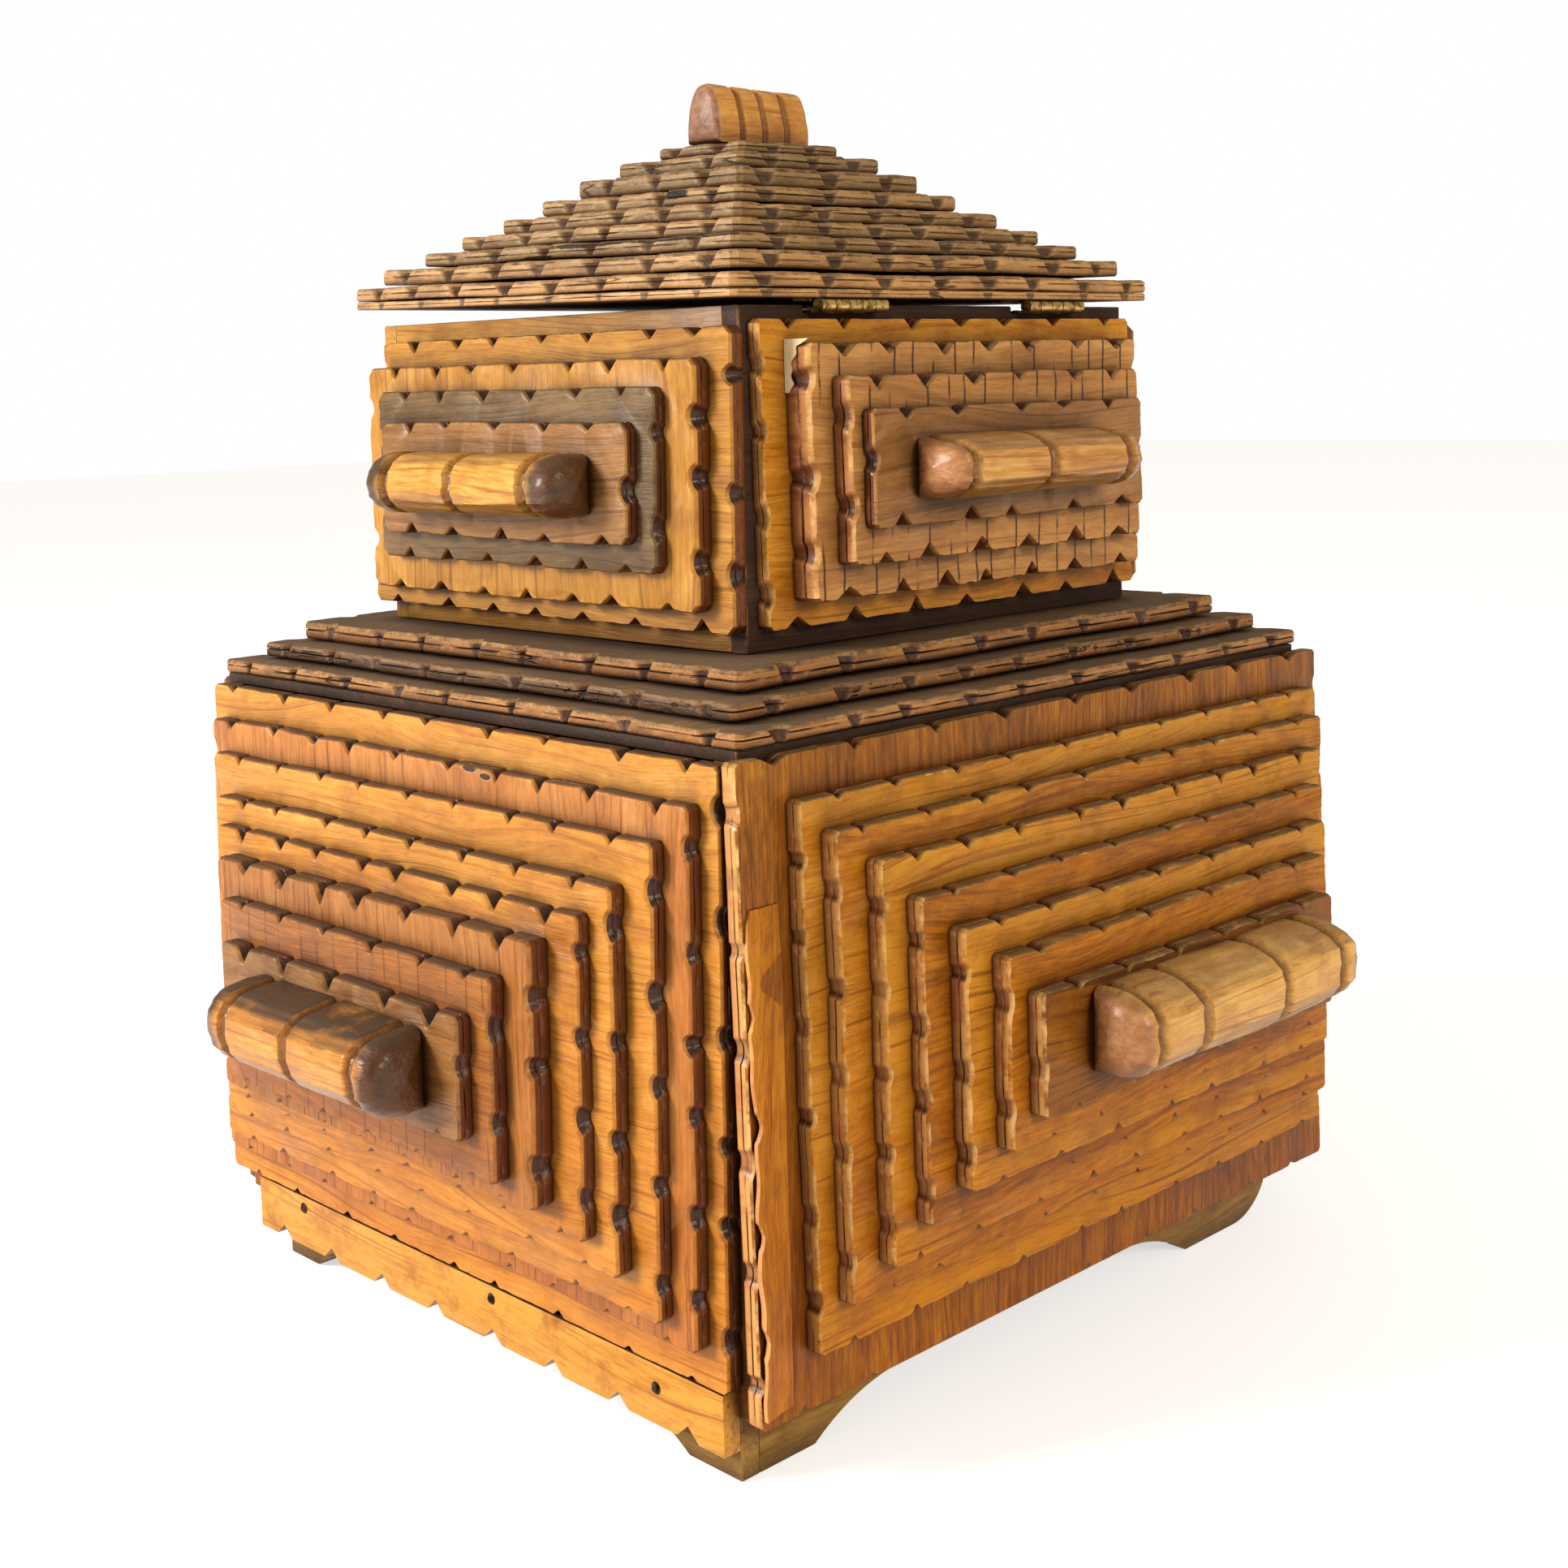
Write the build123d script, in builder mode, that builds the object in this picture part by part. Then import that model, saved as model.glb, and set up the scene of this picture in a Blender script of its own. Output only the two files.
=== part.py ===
import os
from math import cos, radians, sin

from build123d import *

# Tramp art box in millimetres: a square lower case with one deep drawer, a smaller box on its roof and a
# hinged pyramid lid. Z is up from the floor, the drawer opens towards -Y, the lid hinges stand towards +X.

os.makedirs("parts", exist_ok=True)

# Clearances
slide_gap = 0.4  # between the drawer and the boards above, below and behind its overlay front
side_gap = 0.6  # beside the drawer box, on each hand
edge_gap = 0.8  # beside the drawer's overlay front, on each hand
drawer_back_gap = 4.4
drawer_top_gap = 10.0

# Lower case
case_half_x = 113.6
case_half_y = 117.0
case_height = 159.2
case_floor_bottom = 16.0
case_floor_thick = 8.0
case_wall = 8.0
case_top_thick = 3.0

# Plinth, set in from the case by a different amount on each side
plinth_inset_right = 5.2
plinth_inset_left = 20.2
plinth_inset_back = 9.0
plinth_board = 6.0
near_foot_width = 19.0
far_foot_width = 25.0
left_foot_width = 15.0
foot_rise = 27.0
arch_height = 9.5
corner_round_run = 17.0
corner_round_rise = 9.0

# V notches
notch_width = 8.0
notch_depth = 4.2
face_notch_pitch = 34.0
step_notch_width = 6.5
step_notch_depth = 3.2
step_notch_pitch = 42.0

# Lower face stacks: how far the first board laps the case, then the ledge that each next board leaves bare
face_lean = 0.018  # how far a leaning board's edges move towards its far end per millimetre down
front_foot_rise = 7.9
front_top_lap = 0.1
side_end_lap = 5.0
side_foot_rise = 0.6
side_top_lap = 1.2
front_thick = (5.0, 4.7, 4.6, 5.0, 4.3, 6.4, 4.8, 4.7)
front_side_ledge = (6.0, 7.8, 9.4, 7.2, 10.6, 9.4, 7.6)
front_top_ledge = (9.3, 8.9, 10.9, 7.2, 6.7, 9.6, 9.9)
front_bottom_ledge = (10.0, 6.7, 10.2, 8.1, 6.8, 5.7, 10.1)
side_thick = (4.7, 5.0, 5.4, 5.4, 5.2, 5.6, 5.6, 5.5)
side_side_ledge = (11.8, 5.8, 9.2, 7.8, 8.3, 8.9, 6.2)
side_far_shift = (0.0, 3.8, 4.4, 4.4, 4.5, 5.2, 5.2, 5.3)  # towards the back, on the right face
side_top_ledge = (10.4, 7.5, 7.8, 9.5, 8.5, 7.4, 9.4)
side_bottom_ledge = (14.7, 11.8, 8.4, 9.1, 7.4, 8.7, 8.0)

# Apron under the drawer front
apron_inset_left = 12.6
apron_inset_right = 5.3
apron_drop = 8.0
apron_notch_depth = 3.5
apron_notch_pitch = 26.0

# Drawer
drawer_wall = 5.0
drawer_floor_thick = 3.5

# Shoulder plates on the roof of the lower case
shoulder_thick = (4.7, 5.0, 5.9)
shoulder_lap_x = 1.4
shoulder_lap_y = 0.3
shoulder_ledge_x = (0.0, 10.0, 7.7)
shoulder_ledge_y = (0.0, 7.6, 9.9)

# Upper box
upper_half_x = 78.0
upper_half_y = 79.0
upper_height = 88.2
upper_wall = 6.0
upper_floor_thick = 6.0
end_side_lap = 1.8
end_foot_rise = 5.3
end_top_drop = 5.1
hinge_side_inset = 2.5
hinge_foot_rise = 5.8
hinge_top_drop = 3.6
end_thick = (4.9, 5.4, 4.2, 4.0)
end_side_ledge = (7.5, 11.0, 6.8)
end_top_ledge = (7.6, 7.1, 8.8)
end_bottom_ledge = (5.4, 9.8, 7.3)
hinge_thick = (4.8, 8.9, 6.3, 4.2)
hinge_side_ledge = (8.6, 7.6, 4.2)
hinge_top_ledge = (6.2, 8.6, 8.5)
hinge_bottom_ledge = (6.8, 9.0, 9.4)

# Butt hinges between the upper box's right wall and the lid
hinge_length = 25.0
hinge_spread = 42.0  # from the middle of the box to the middle of a hinge
hinge_axis_out = 4.0
hinge_axis_drop = 0.2
knuckle_count = 5
knuckle_radius = 1.9
knuckle_gap = 0.3
pin_radius = 0.8
pin_clearance = 0.05
leaf_thick = 0.8
leaf_width = 9.0
mortise_margin = 1.5

# Lid: it stands a little open at rest, because its hinges bind
lid_rest_tilt = 1.15
lid_lap_x = 5.6
lid_lap_y = 6.7
lid_base_thick = 2.2
lid_step_thick = (4.6, 5.4, 4.7, 4.8, 5.1, 5.2, 6.0, 5.1, 4.0)
lid_step_inset = (0.0, 5.6, 9.0, 8.0, 9.0, 8.5, 7.9, 8.6, 8.7)
lid_handle_width = 15.3
lid_handle_length = 40.0
lid_handle_height = 17.5
lid_handle_grooves = (-9.0, 0.0, 9.0)

# Whittled bars: width up the face, how far above the middle of the last board, reach out and ends along it
bar_groove_half_width = 2.2
bar_groove_scale = 0.84
bar_end_scale = 0.80
bar_end_length = 3.0
pull_width, pull_rise, pull_reach = 22.0, -0.1, 18.0
pull_ends = (-38.0, 44.4)
pull_grooves = (-26.0, 4.0, 34.0)
side_bar_width, side_bar_rise, side_bar_reach = 23.0, 2.2, 18.6
side_bar_ends = (-43.6, 58.0)
side_bar_grooves = (-35.0, -16.0, 20.0, 47.0)
end_bar_width, end_bar_rise, end_bar_reach = 18.0, -0.5, 16.2
end_bar_ends = (-44.0, 43.0)
end_bar_grooves = (-32.0, -2.0, 30.0)
hinge_bar_width, hinge_bar_rise, hinge_bar_reach = 17.0, -0.5, 19.0
hinge_bar_ends = (-43.4, 36.0)
hinge_bar_grooves = (-37.0, -6.0, 27.0)

# Levels and places that follow from the sizes above
case_floor_top = case_floor_bottom + case_floor_thick
case_wall_top = case_floor_bottom + case_height
roof_z = case_wall_top + case_top_thick
shoulder_top = roof_z + sum(shoulder_thick)
upper_top = shoulder_top + upper_height
case_inner_x = case_half_x - case_wall
case_inner_back = case_half_y - case_wall
front_face_y = case_half_y + slide_gap
hinge_axis_x = upper_half_x + hinge_axis_out
hinge_axis_z = upper_top - hinge_axis_drop

# Planes whose Z axis points out of each face and whose Y axis points up
front_plane = Plane(origin=(0, -front_face_y, 0), x_dir=(1, 0, 0), z_dir=(0, -1, 0))
back_plane = Plane(origin=(0, case_half_y, 0), x_dir=(-1, 0, 0), z_dir=(0, 1, 0))
right_plane = Plane(origin=(case_half_x, 0, 0), x_dir=(0, 1, 0), z_dir=(1, 0, 0))
left_plane = Plane(origin=(-case_half_x, 0, 0), x_dir=(0, -1, 0), z_dir=(-1, 0, 0))
upper_front_plane = Plane(origin=(0, -upper_half_y, 0), x_dir=(1, 0, 0), z_dir=(0, -1, 0))
upper_back_plane = Plane(origin=(0, upper_half_y, 0), x_dir=(-1, 0, 0), z_dir=(0, 1, 0))
upper_right_plane = Plane(origin=(upper_half_x, 0, 0), x_dir=(0, 1, 0), z_dir=(1, 0, 0))
upper_left_plane = Plane(origin=(-upper_half_x, 0, 0), x_dir=(0, -1, 0), z_dir=(-1, 0, 0))
hinge_axis_plane = Plane(origin=(hinge_axis_x, 0, hinge_axis_z), x_dir=(1, 0, 0), z_dir=(0, -1, 0))
lid_axis_plane = Plane(
    origin=(hinge_axis_x, 0, hinge_axis_z),
    x_dir=(cos(radians(lid_rest_tilt)), 0, -sin(radians(lid_rest_tilt))),
    z_dir=(0, -1, 0),
)


def save(piece, name):
    piece.part.label = name
    export_step(piece.part, f"parts/{name}.step")
    print(name, len(piece.part.solids()), round(piece.part.volume))


def notch_edge(start, end, pitch, width, depth):
    """Points along one straight edge, from its start to just before its end, with V notches on the left."""
    along = Vector(*end) - Vector(*start)
    length = along.length
    along = along.normalized()
    inward = Vector(-along.Y, along.X)
    count = max(1, round(length / pitch))
    points = [Vector(*start)]
    for index in range(count):
        middle = Vector(*start) + along * (length * (index + 0.5) / count)
        points += [middle - along * (width / 2), middle + inward * depth, middle + along * (width / 2)]
    return points


def notched_outline(corners, pitch, width, depth):
    """Closed outline through the corners, counter-clockwise, with V notches along every edge."""
    points = []
    for index, corner in enumerate(corners):
        points += notch_edge(corner, corners[(index + 1) % len(corners)], pitch, width, depth)
    return [(point.X, point.Y) for point in points]


def board_corners(half, bottom, top, shift, far_hand):
    """A face board's corners; far_hand says which way it leans and is shifted, and 0 leaves it square."""
    top_middle = far_hand * shift
    foot_middle = top_middle + far_hand * face_lean * (top - bottom)
    foot = [(foot_middle - half, bottom), (foot_middle + half, bottom)]
    return foot + [(top_middle + half, top), (top_middle - half, top)]


def plate_corners(half_x, half_y):
    return [(-half_x, -half_y), (half_x, -half_y), (half_x, half_y), (-half_x, half_y)]


def stack_boards(half, bottom, top, side_ledges, top_ledges, bottom_ledges, thicknesses, shifts=None):
    """Each board of a stack: half width, bottom, top, distance out from the wall, thickness and shift."""
    boards = []
    out = 0.0
    shifts = shifts or (0.0,) * len(thicknesses)
    ledges = zip((0.0,) + side_ledges, (0.0,) + top_ledges, (0.0,) + bottom_ledges, thicknesses, shifts)
    for side_ledge, top_ledge, bottom_ledge, thick, shift in ledges:
        half -= side_ledge
        top -= top_ledge
        bottom += bottom_ledge
        boards.append((half, bottom, top, out, thick, shift))
        out += thick
    return boards


def add_board(plane, board, far_hand):
    """Adds one notched face board to the piece being built."""
    half, bottom, top, out, thick, shift = board
    corners = board_corners(half, bottom, top, shift, far_hand)
    outline = notched_outline(corners, face_notch_pitch, notch_width, notch_depth)
    with BuildSketch(plane.offset(out)) as face:
        with BuildLine():
            Polyline(*outline, close=True)
        make_face()
    extrude(face.sketch, amount=thick)


def add_plate(plane, half_x, half_y, thick):
    """Adds one notched plate lying flat on a plane."""
    corners = plate_corners(half_x, half_y)
    outline = notched_outline(corners, step_notch_pitch, step_notch_width, step_notch_depth)
    with BuildSketch(plane) as face:
        with BuildLine():
            Polyline(*outline, close=True)
        make_face()
    extrude(face.sketch, amount=thick)


def bar_stations(ends, grooves):
    """Places along a bar with the scale of its profile there: drawn in at both ends and at each groove."""
    start, end = ends
    stations = [(start, bar_end_scale), (start + bar_end_length, 1.0)]
    for groove in grooves:
        stations += [(groove - bar_groove_half_width, 1.0), (groove, bar_groove_scale)]
        stations += [(groove + bar_groove_half_width, 1.0)]
    return stations + [(end - bar_end_length, 1.0), (end, bar_end_scale)]


def add_bar(plane, board, rise, width, reach, ends, grooves):
    """Adds one whittled bar with a six-sided D profile, lofted along the face on the stack's last board."""
    half, bottom, top, out, thick, shift = board
    middle = (bottom + top) / 2 + rise
    sections = []
    for place, scale in bar_stations(ends, grooves):
        section_plane = Plane(
            origin=plane.origin + plane.x_dir * place + plane.z_dir * (out + thick) + plane.y_dir * middle,
            x_dir=plane.z_dir,
            z_dir=plane.x_dir,
        )
        side, crown = scale * width / 2, scale * reach
        profile = [(0, -side), (crown * 0.5, -side), (crown, -side * 0.45)]
        profile += [(crown, side * 0.45), (crown * 0.5, side), (0, side)]
        with BuildSketch(section_plane) as section:
            with BuildLine():
                Polyline(*profile, close=True)
            make_face()
        sections.append(section.sketch)
    loft(sections, ruled=True)


def add_box(x_low, x_high, y_low, y_high, z_low, z_high):
    """Adds one square-edged board between its corners."""
    with Locations(((x_low + x_high) / 2, (y_low + y_high) / 2, (z_low + z_high) / 2)):
        Box(x_high - x_low, y_high - y_low, z_high - z_low)


def bracket_board(plane, near, far, near_foot, far_foot, near_round, far_round):
    """Adds a plinth board with two feet and an arch between them; a rounded corner runs in from its end."""
    rise = corner_round_rise
    near_start = near + near_round
    near_end = near_start + near_foot
    far_end = far - far_round
    far_start = far_end - far_foot
    arch_middle = arch_height * 0.7
    with BuildSketch(plane) as face:
        with BuildLine():
            if near_round:
                corner_middle = (near + near_round * 0.35, rise * 0.35)
                ThreePointArc((near, rise), corner_middle, (near_start, 0))
            Line((near_start, 0), (near_end, 0))
            near_middle = (near_end + foot_rise * 0.5, arch_middle)
            ThreePointArc((near_end, 0), near_middle, (near_end + foot_rise, arch_height))
            Line((near_end + foot_rise, arch_height), (far_start - foot_rise, arch_height))
            far_middle = (far_start - foot_rise * 0.5, arch_middle)
            ThreePointArc((far_start - foot_rise, arch_height), far_middle, (far_start, 0))
            Line((far_start, 0), (far_end, 0))
            if far_round:
                corner_middle = (far - far_round * 0.35, rise * 0.35)
                ThreePointArc((far_end, 0), corner_middle, (far, rise))
            Line((far, rise if far_round else 0), (far, case_floor_bottom))
            Line((far, case_floor_bottom), (near, case_floor_bottom))
            Line((near, case_floor_bottom), (near, rise if near_round else 0))
        make_face()
    extrude(face.sketch, amount=plinth_board)


# Plinth: the front board laps the ends of the side boards, the back board stands between them
plinth_right = case_half_x - plinth_inset_right
plinth_left = plinth_inset_left - case_half_x
plinth_back = case_half_y - plinth_inset_back
plinth_inner_front = plinth_board - case_half_y
plinth_front_plane = Plane(origin=(0, -case_half_y, 0), x_dir=(-1, 0, 0), z_dir=(0, 1, 0))
plinth_back_plane = Plane(origin=(0, plinth_back - plinth_board, 0), x_dir=(-1, 0, 0), z_dir=(0, 1, 0))
plinth_right_plane = Plane(origin=(plinth_right - plinth_board, 0, 0), x_dir=(0, 1, 0), z_dir=(1, 0, 0))
plinth_left_plane = Plane(origin=(plinth_left, 0, 0), x_dir=(0, 1, 0), z_dir=(1, 0, 0))

with BuildPart() as plinth_front_board:
    bracket_board(plinth_front_plane, -plinth_right, -plinth_left, near_foot_width, left_foot_width, 0, 0)
save(plinth_front_board, "plinth_front")

with BuildPart() as plinth_back_board:
    right_end, left_end = plinth_board - plinth_right, -plinth_left - plinth_board
    foot, corner = near_foot_width, corner_round_run
    bracket_board(plinth_back_plane, right_end, left_end, foot, foot, corner, corner)
save(plinth_back_board, "plinth_back")

for side_plane, side_name in ((plinth_right_plane, "plinth_right"), (plinth_left_plane, "plinth_left")):
    with BuildPart() as plinth_side_board:
        front_end, feet = plinth_inner_front, (near_foot_width, far_foot_width)
        bracket_board(side_plane, front_end, plinth_back, *feet, 0, corner_round_run)
    save(plinth_side_board, side_name)

# Lower case: the side boards stand on the plinth and carry the thin top board
with BuildPart() as case_sides:
    for side in (-1, 1):
        low, high = sorted((side * case_half_x, side * case_inner_x))
        add_box(low, high, -case_half_y, case_half_y, case_floor_bottom, case_wall_top)
save(case_sides, "case_sides")

with BuildPart() as case_floor:
    add_box(-case_inner_x, case_inner_x, -case_half_y, case_inner_back, case_floor_bottom, case_floor_top)
save(case_floor, "case_floor")

with BuildPart() as case_back:
    add_box(-case_inner_x, case_inner_x, case_inner_back, case_half_y, case_floor_bottom, case_wall_top)
save(case_back, "case_back")

with BuildPart() as case_top:
    add_box(-case_half_x, case_half_x, -case_half_y, case_half_y, case_wall_top, roof_z)
save(case_top, "case_top")

# Lower stacks: the drawer front carries the same stack as the back of the case
front_first = (case_half_x - edge_gap, case_floor_bottom + front_foot_rise, case_wall_top + front_top_lap)
side_levels = (case_floor_bottom + side_foot_rise, case_wall_top + side_top_lap)
side_sizes = (side_side_ledge, side_top_ledge, side_bottom_ledge, side_thick, side_far_shift)
front_stack = stack_boards(*front_first, front_side_ledge, front_top_ledge, front_bottom_ledge, front_thick)
right_stack = stack_boards(case_half_y + side_end_lap, *side_levels, *side_sizes)
left_stack = stack_boards(case_half_y - edge_gap, *side_levels, *side_sizes)
lower_boards = zip(front_stack, right_stack, left_stack)
for layer, (front_board, right_board, left_board) in enumerate(lower_boards, start=1):
    with BuildPart() as lower_layer:
        add_board(right_plane, right_board, 1)
        add_board(left_plane, left_board, 0)
        add_board(back_plane, front_board, 0)
    save(lower_layer, f"lower_layer_{layer}")
    with BuildPart() as drawer_layer:
        add_board(front_plane, front_board, -1)
    save(drawer_layer, f"drawer_layer_{layer}")

pull_sizes = (pull_rise, pull_width, pull_reach, pull_ends, pull_grooves)
side_bar_sizes = (side_bar_rise, side_bar_width, side_bar_reach, side_bar_ends, side_bar_grooves)
with BuildPart() as drawer_pull:
    add_bar(front_plane, front_stack[-1], *pull_sizes)
save(drawer_pull, "drawer_pull")

with BuildPart() as side_bars:
    add_bar(right_plane, right_stack[-1], *side_bar_sizes)
    add_bar(left_plane, left_stack[-1], *side_bar_sizes)
    add_bar(back_plane, front_stack[-1], *pull_sizes)
save(side_bars, "side_bars")

# Apron: a fixed rail under the drawer front and flush with it, notched along its lower edge
apron_left = apron_inset_left - case_half_x
apron_right = case_half_x - apron_inset_right
apron_bottom = case_floor_bottom - apron_drop
apron_top = case_floor_bottom + front_foot_rise - slide_gap
apron_plane = Plane(origin=(0, -case_half_y, 0), x_dir=(1, 0, 0), z_dir=(0, -1, 0))
with BuildPart() as apron:
    lower_edge = ((apron_left, apron_bottom), (apron_right, apron_bottom))
    edge_points = notch_edge(*lower_edge, apron_notch_pitch, notch_width, apron_notch_depth)
    outline = [(point.X, point.Y) for point in edge_points]
    outline += [(apron_right, apron_bottom), (apron_right, apron_top), (apron_left, apron_top)]
    with BuildSketch(apron_plane):
        with BuildLine():
            Polyline(*outline, close=True)
        make_face()
    extrude(amount=front_thick[0] + slide_gap)
save(apron, "apron")

# Drawer box: an inner front behind the overlay front, then sides and back standing on the bottom board
drawer_half = case_inner_x - side_gap
drawer_bottom_z = case_floor_top + slide_gap
drawer_floor_z = drawer_bottom_z + drawer_floor_thick
drawer_side_top = case_wall_top - drawer_top_gap
drawer_front_y = -front_face_y
drawer_inner_y = drawer_front_y + drawer_wall
drawer_back_y = case_inner_back - drawer_back_gap

with BuildPart() as drawer_inner_front:
    add_box(-drawer_half, drawer_half, drawer_front_y, drawer_inner_y, drawer_bottom_z, drawer_side_top)
save(drawer_inner_front, "drawer_inner_front")

with BuildPart() as drawer_bottom:
    add_box(-drawer_half, drawer_half, drawer_inner_y, drawer_back_y, drawer_bottom_z, drawer_floor_z)
save(drawer_bottom, "drawer_bottom")

with BuildPart() as drawer_sides:
    for side in (-1, 1):
        low, high = sorted((side * drawer_half, side * (drawer_half - drawer_wall)))
        add_box(low, high, drawer_inner_y, drawer_back_y, drawer_floor_z, drawer_side_top)
save(drawer_sides, "drawer_sides")

with BuildPart() as drawer_back:
    inner = drawer_half - drawer_wall
    add_box(-inner, inner, drawer_back_y - drawer_wall, drawer_back_y, drawer_floor_z, drawer_side_top)
save(drawer_back, "drawer_back")

# Shoulder: three notched plates on the roof, each smaller than the one below
plate_z = roof_z
plate_half_x = case_half_x + shoulder_lap_x
plate_half_y = case_half_y + shoulder_lap_y
shoulder_plates = zip(shoulder_ledge_x, shoulder_ledge_y, shoulder_thick)
for layer, (ledge_x, ledge_y, thick) in enumerate(shoulder_plates, start=1):
    plate_half_x -= ledge_x
    plate_half_y -= ledge_y
    with BuildPart() as shoulder_step:
        add_plate(Plane.XY.offset(plate_z), plate_half_x, plate_half_y, thick)
    save(shoulder_step, f"shoulder_step_{layer}")
    plate_z += thick

# Upper box: side walls from front to back, end walls between them, floor inside all four
upper_floor_top = shoulder_top + upper_floor_thick
upper_inner_x = upper_half_x - upper_wall
upper_inner_y = upper_half_y - upper_wall
leaf_bottom = hinge_axis_z - knuckle_radius

with BuildPart() as upper_floor:
    add_box(-upper_inner_x, upper_inner_x, -upper_inner_y, upper_inner_y, shoulder_top, upper_floor_top)
save(upper_floor, "upper_floor")

with BuildPart() as upper_end_walls:
    for side in (-1, 1):
        outer, inner = side * upper_half_y, side * upper_inner_y
        add_box(-upper_inner_x, upper_inner_x, min(outer, inner), max(outer, inner), shoulder_top, upper_top)
save(upper_end_walls, "upper_end_walls")

with BuildPart() as upper_side_walls:
    for side in (-1, 1):
        outer, inner = side * upper_half_x, side * upper_inner_x
        add_box(min(outer, inner), max(outer, inner), -upper_half_y, upper_half_y, shoulder_top, upper_top)
    mortise_depth = upper_top - leaf_bottom
    with Locations(*[(upper_half_x - upper_wall / 2, side * hinge_spread, upper_top) for side in (-1, 1)]):
        Box(
            upper_wall,
            hinge_length + 2 * mortise_margin,
            mortise_depth,
            align=(Align.CENTER, Align.CENTER, Align.MAX),
            mode=Mode.SUBTRACT,
        )
save(upper_side_walls, "upper_side_walls")

end_first = (upper_half_x + end_side_lap, shoulder_top + end_foot_rise, upper_top - end_top_drop)
hinge_first = (upper_half_y - hinge_side_inset, shoulder_top + hinge_foot_rise, upper_top - hinge_top_drop)
end_stack = stack_boards(*end_first, end_side_ledge, end_top_ledge, end_bottom_ledge, end_thick)
hinge_stack = stack_boards(*hinge_first, hinge_side_ledge, hinge_top_ledge, hinge_bottom_ledge, hinge_thick)
for layer, (end_board, hinge_board) in enumerate(zip(end_stack, hinge_stack), start=1):
    with BuildPart() as upper_layer:
        add_board(upper_front_plane, end_board, -1)
        add_board(upper_back_plane, end_board, 0)
        add_board(upper_right_plane, hinge_board, 1)
        add_board(upper_left_plane, hinge_board, 0)
    save(upper_layer, f"upper_layer_{layer}")

end_bar_sizes = (end_bar_rise, end_bar_width, end_bar_reach, end_bar_ends, end_bar_grooves)
hinge_bar_sizes = (hinge_bar_rise, hinge_bar_width, hinge_bar_reach, hinge_bar_ends, hinge_bar_grooves)
with BuildPart() as upper_bars:
    add_bar(upper_front_plane, end_stack[-1], *end_bar_sizes)
    add_bar(upper_back_plane, end_stack[-1], *end_bar_sizes)
    add_bar(upper_right_plane, hinge_stack[-1], *hinge_bar_sizes)
    add_bar(upper_left_plane, hinge_stack[-1], *hinge_bar_sizes)
save(upper_bars, "upper_bars")

# Butt hinges: drawn on a plane through the pin, whose X points out of the box, Y up and Z towards the front
knuckle_length = hinge_length / knuckle_count
tab_inner = -(knuckle_radius + knuckle_gap)


def add_leaf(plane, first_knuckle, low):
    """Adds both hinges' leaves of one kind, with every second knuckle from the first, above the level low."""
    for side in (-1, 1):
        hinge_start = side * hinge_spread - hinge_length / 2
        with BuildSketch(plane.offset(hinge_start)) as plate:
            with Locations(((tab_inner - leaf_width) / 2, low + leaf_thick / 2)):
                Rectangle(leaf_width + tab_inner, leaf_thick)
        extrude(plate.sketch, amount=hinge_length)
        for knuckle in range(first_knuckle, knuckle_count, 2):
            knuckle_start = hinge_start + knuckle * knuckle_length + knuckle_gap / 2
            with BuildSketch(plane.offset(knuckle_start)) as knuckle_face:
                Circle(knuckle_radius)
                with Locations((tab_inner / 2, low + leaf_thick / 2)):
                    Rectangle(-tab_inner, leaf_thick)
                Circle(pin_radius + pin_clearance, mode=Mode.SUBTRACT)
            extrude(knuckle_face.sketch, amount=knuckle_length - knuckle_gap)


with BuildPart() as hinge_box_leaves:
    add_leaf(hinge_axis_plane, 0, -knuckle_radius)
save(hinge_box_leaves, "hinge_box_leaves")

with BuildPart() as hinge_lid_leaves:
    add_leaf(lid_axis_plane, 1, knuckle_radius - leaf_thick)
save(hinge_lid_leaves, "hinge_lid_leaves")

with BuildPart() as hinge_pins:
    for side in (-1, 1):
        with BuildSketch(hinge_axis_plane.offset(side * hinge_spread - hinge_length / 2)):
            Circle(pin_radius)
        extrude(amount=hinge_length)
save(hinge_pins, "hinge_pins")

# Lid: plates stacked square to the tilted lid, whose underside meets the hinge leaves
lid_underside = lid_axis_plane.origin + lid_axis_plane.y_dir * knuckle_radius
lid_plane = Plane(
    origin=lid_underside - lid_axis_plane.x_dir * hinge_axis_x,
    x_dir=lid_axis_plane.x_dir,
    z_dir=lid_axis_plane.y_dir,
)

lid_half_x = upper_half_x + lid_lap_x
lid_half_y = upper_half_y + lid_lap_y
with BuildPart() as lid_base:
    with BuildSketch(lid_plane):
        Rectangle(2 * lid_half_x, 2 * lid_half_y)
    extrude(amount=lid_base_thick)
save(lid_base, "lid_base")

step_z = lid_base_thick
for layer, (inset, thick) in enumerate(zip(lid_step_inset, lid_step_thick), start=1):
    lid_half_x -= inset
    lid_half_y -= inset
    with BuildPart() as lid_step:
        add_plate(lid_plane.offset(step_z), lid_half_x, lid_half_y, thick)
    save(lid_step, f"lid_step_{layer}")
    step_z += thick

with BuildPart() as lid_handle:
    handle_plane = Plane(
        origin=lid_plane.origin + lid_plane.z_dir * step_z,
        x_dir=lid_plane.x_dir,
        z_dir=(0, -1, 0),
    )
    handle_ends = (-lid_handle_length / 2, lid_handle_length / 2)
    for place, scale in bar_stations(handle_ends, lid_handle_grooves):
        width, height = scale * lid_handle_width / 2, scale * lid_handle_height
        profile = [(-width, 0), (width, 0), (width, height * 0.6), (width * 0.62, height * 0.9), (0, height)]
        profile += [(-width * 0.62, height * 0.9), (-width, height * 0.6)]
        with BuildSketch(handle_plane.offset(place)):
            with BuildLine():
                Polyline(*profile, close=True)
            make_face()
    loft(ruled=True)
save(lid_handle, "lid_handle")
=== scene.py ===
import random
from math import cos, pi, radians, sin

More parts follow.
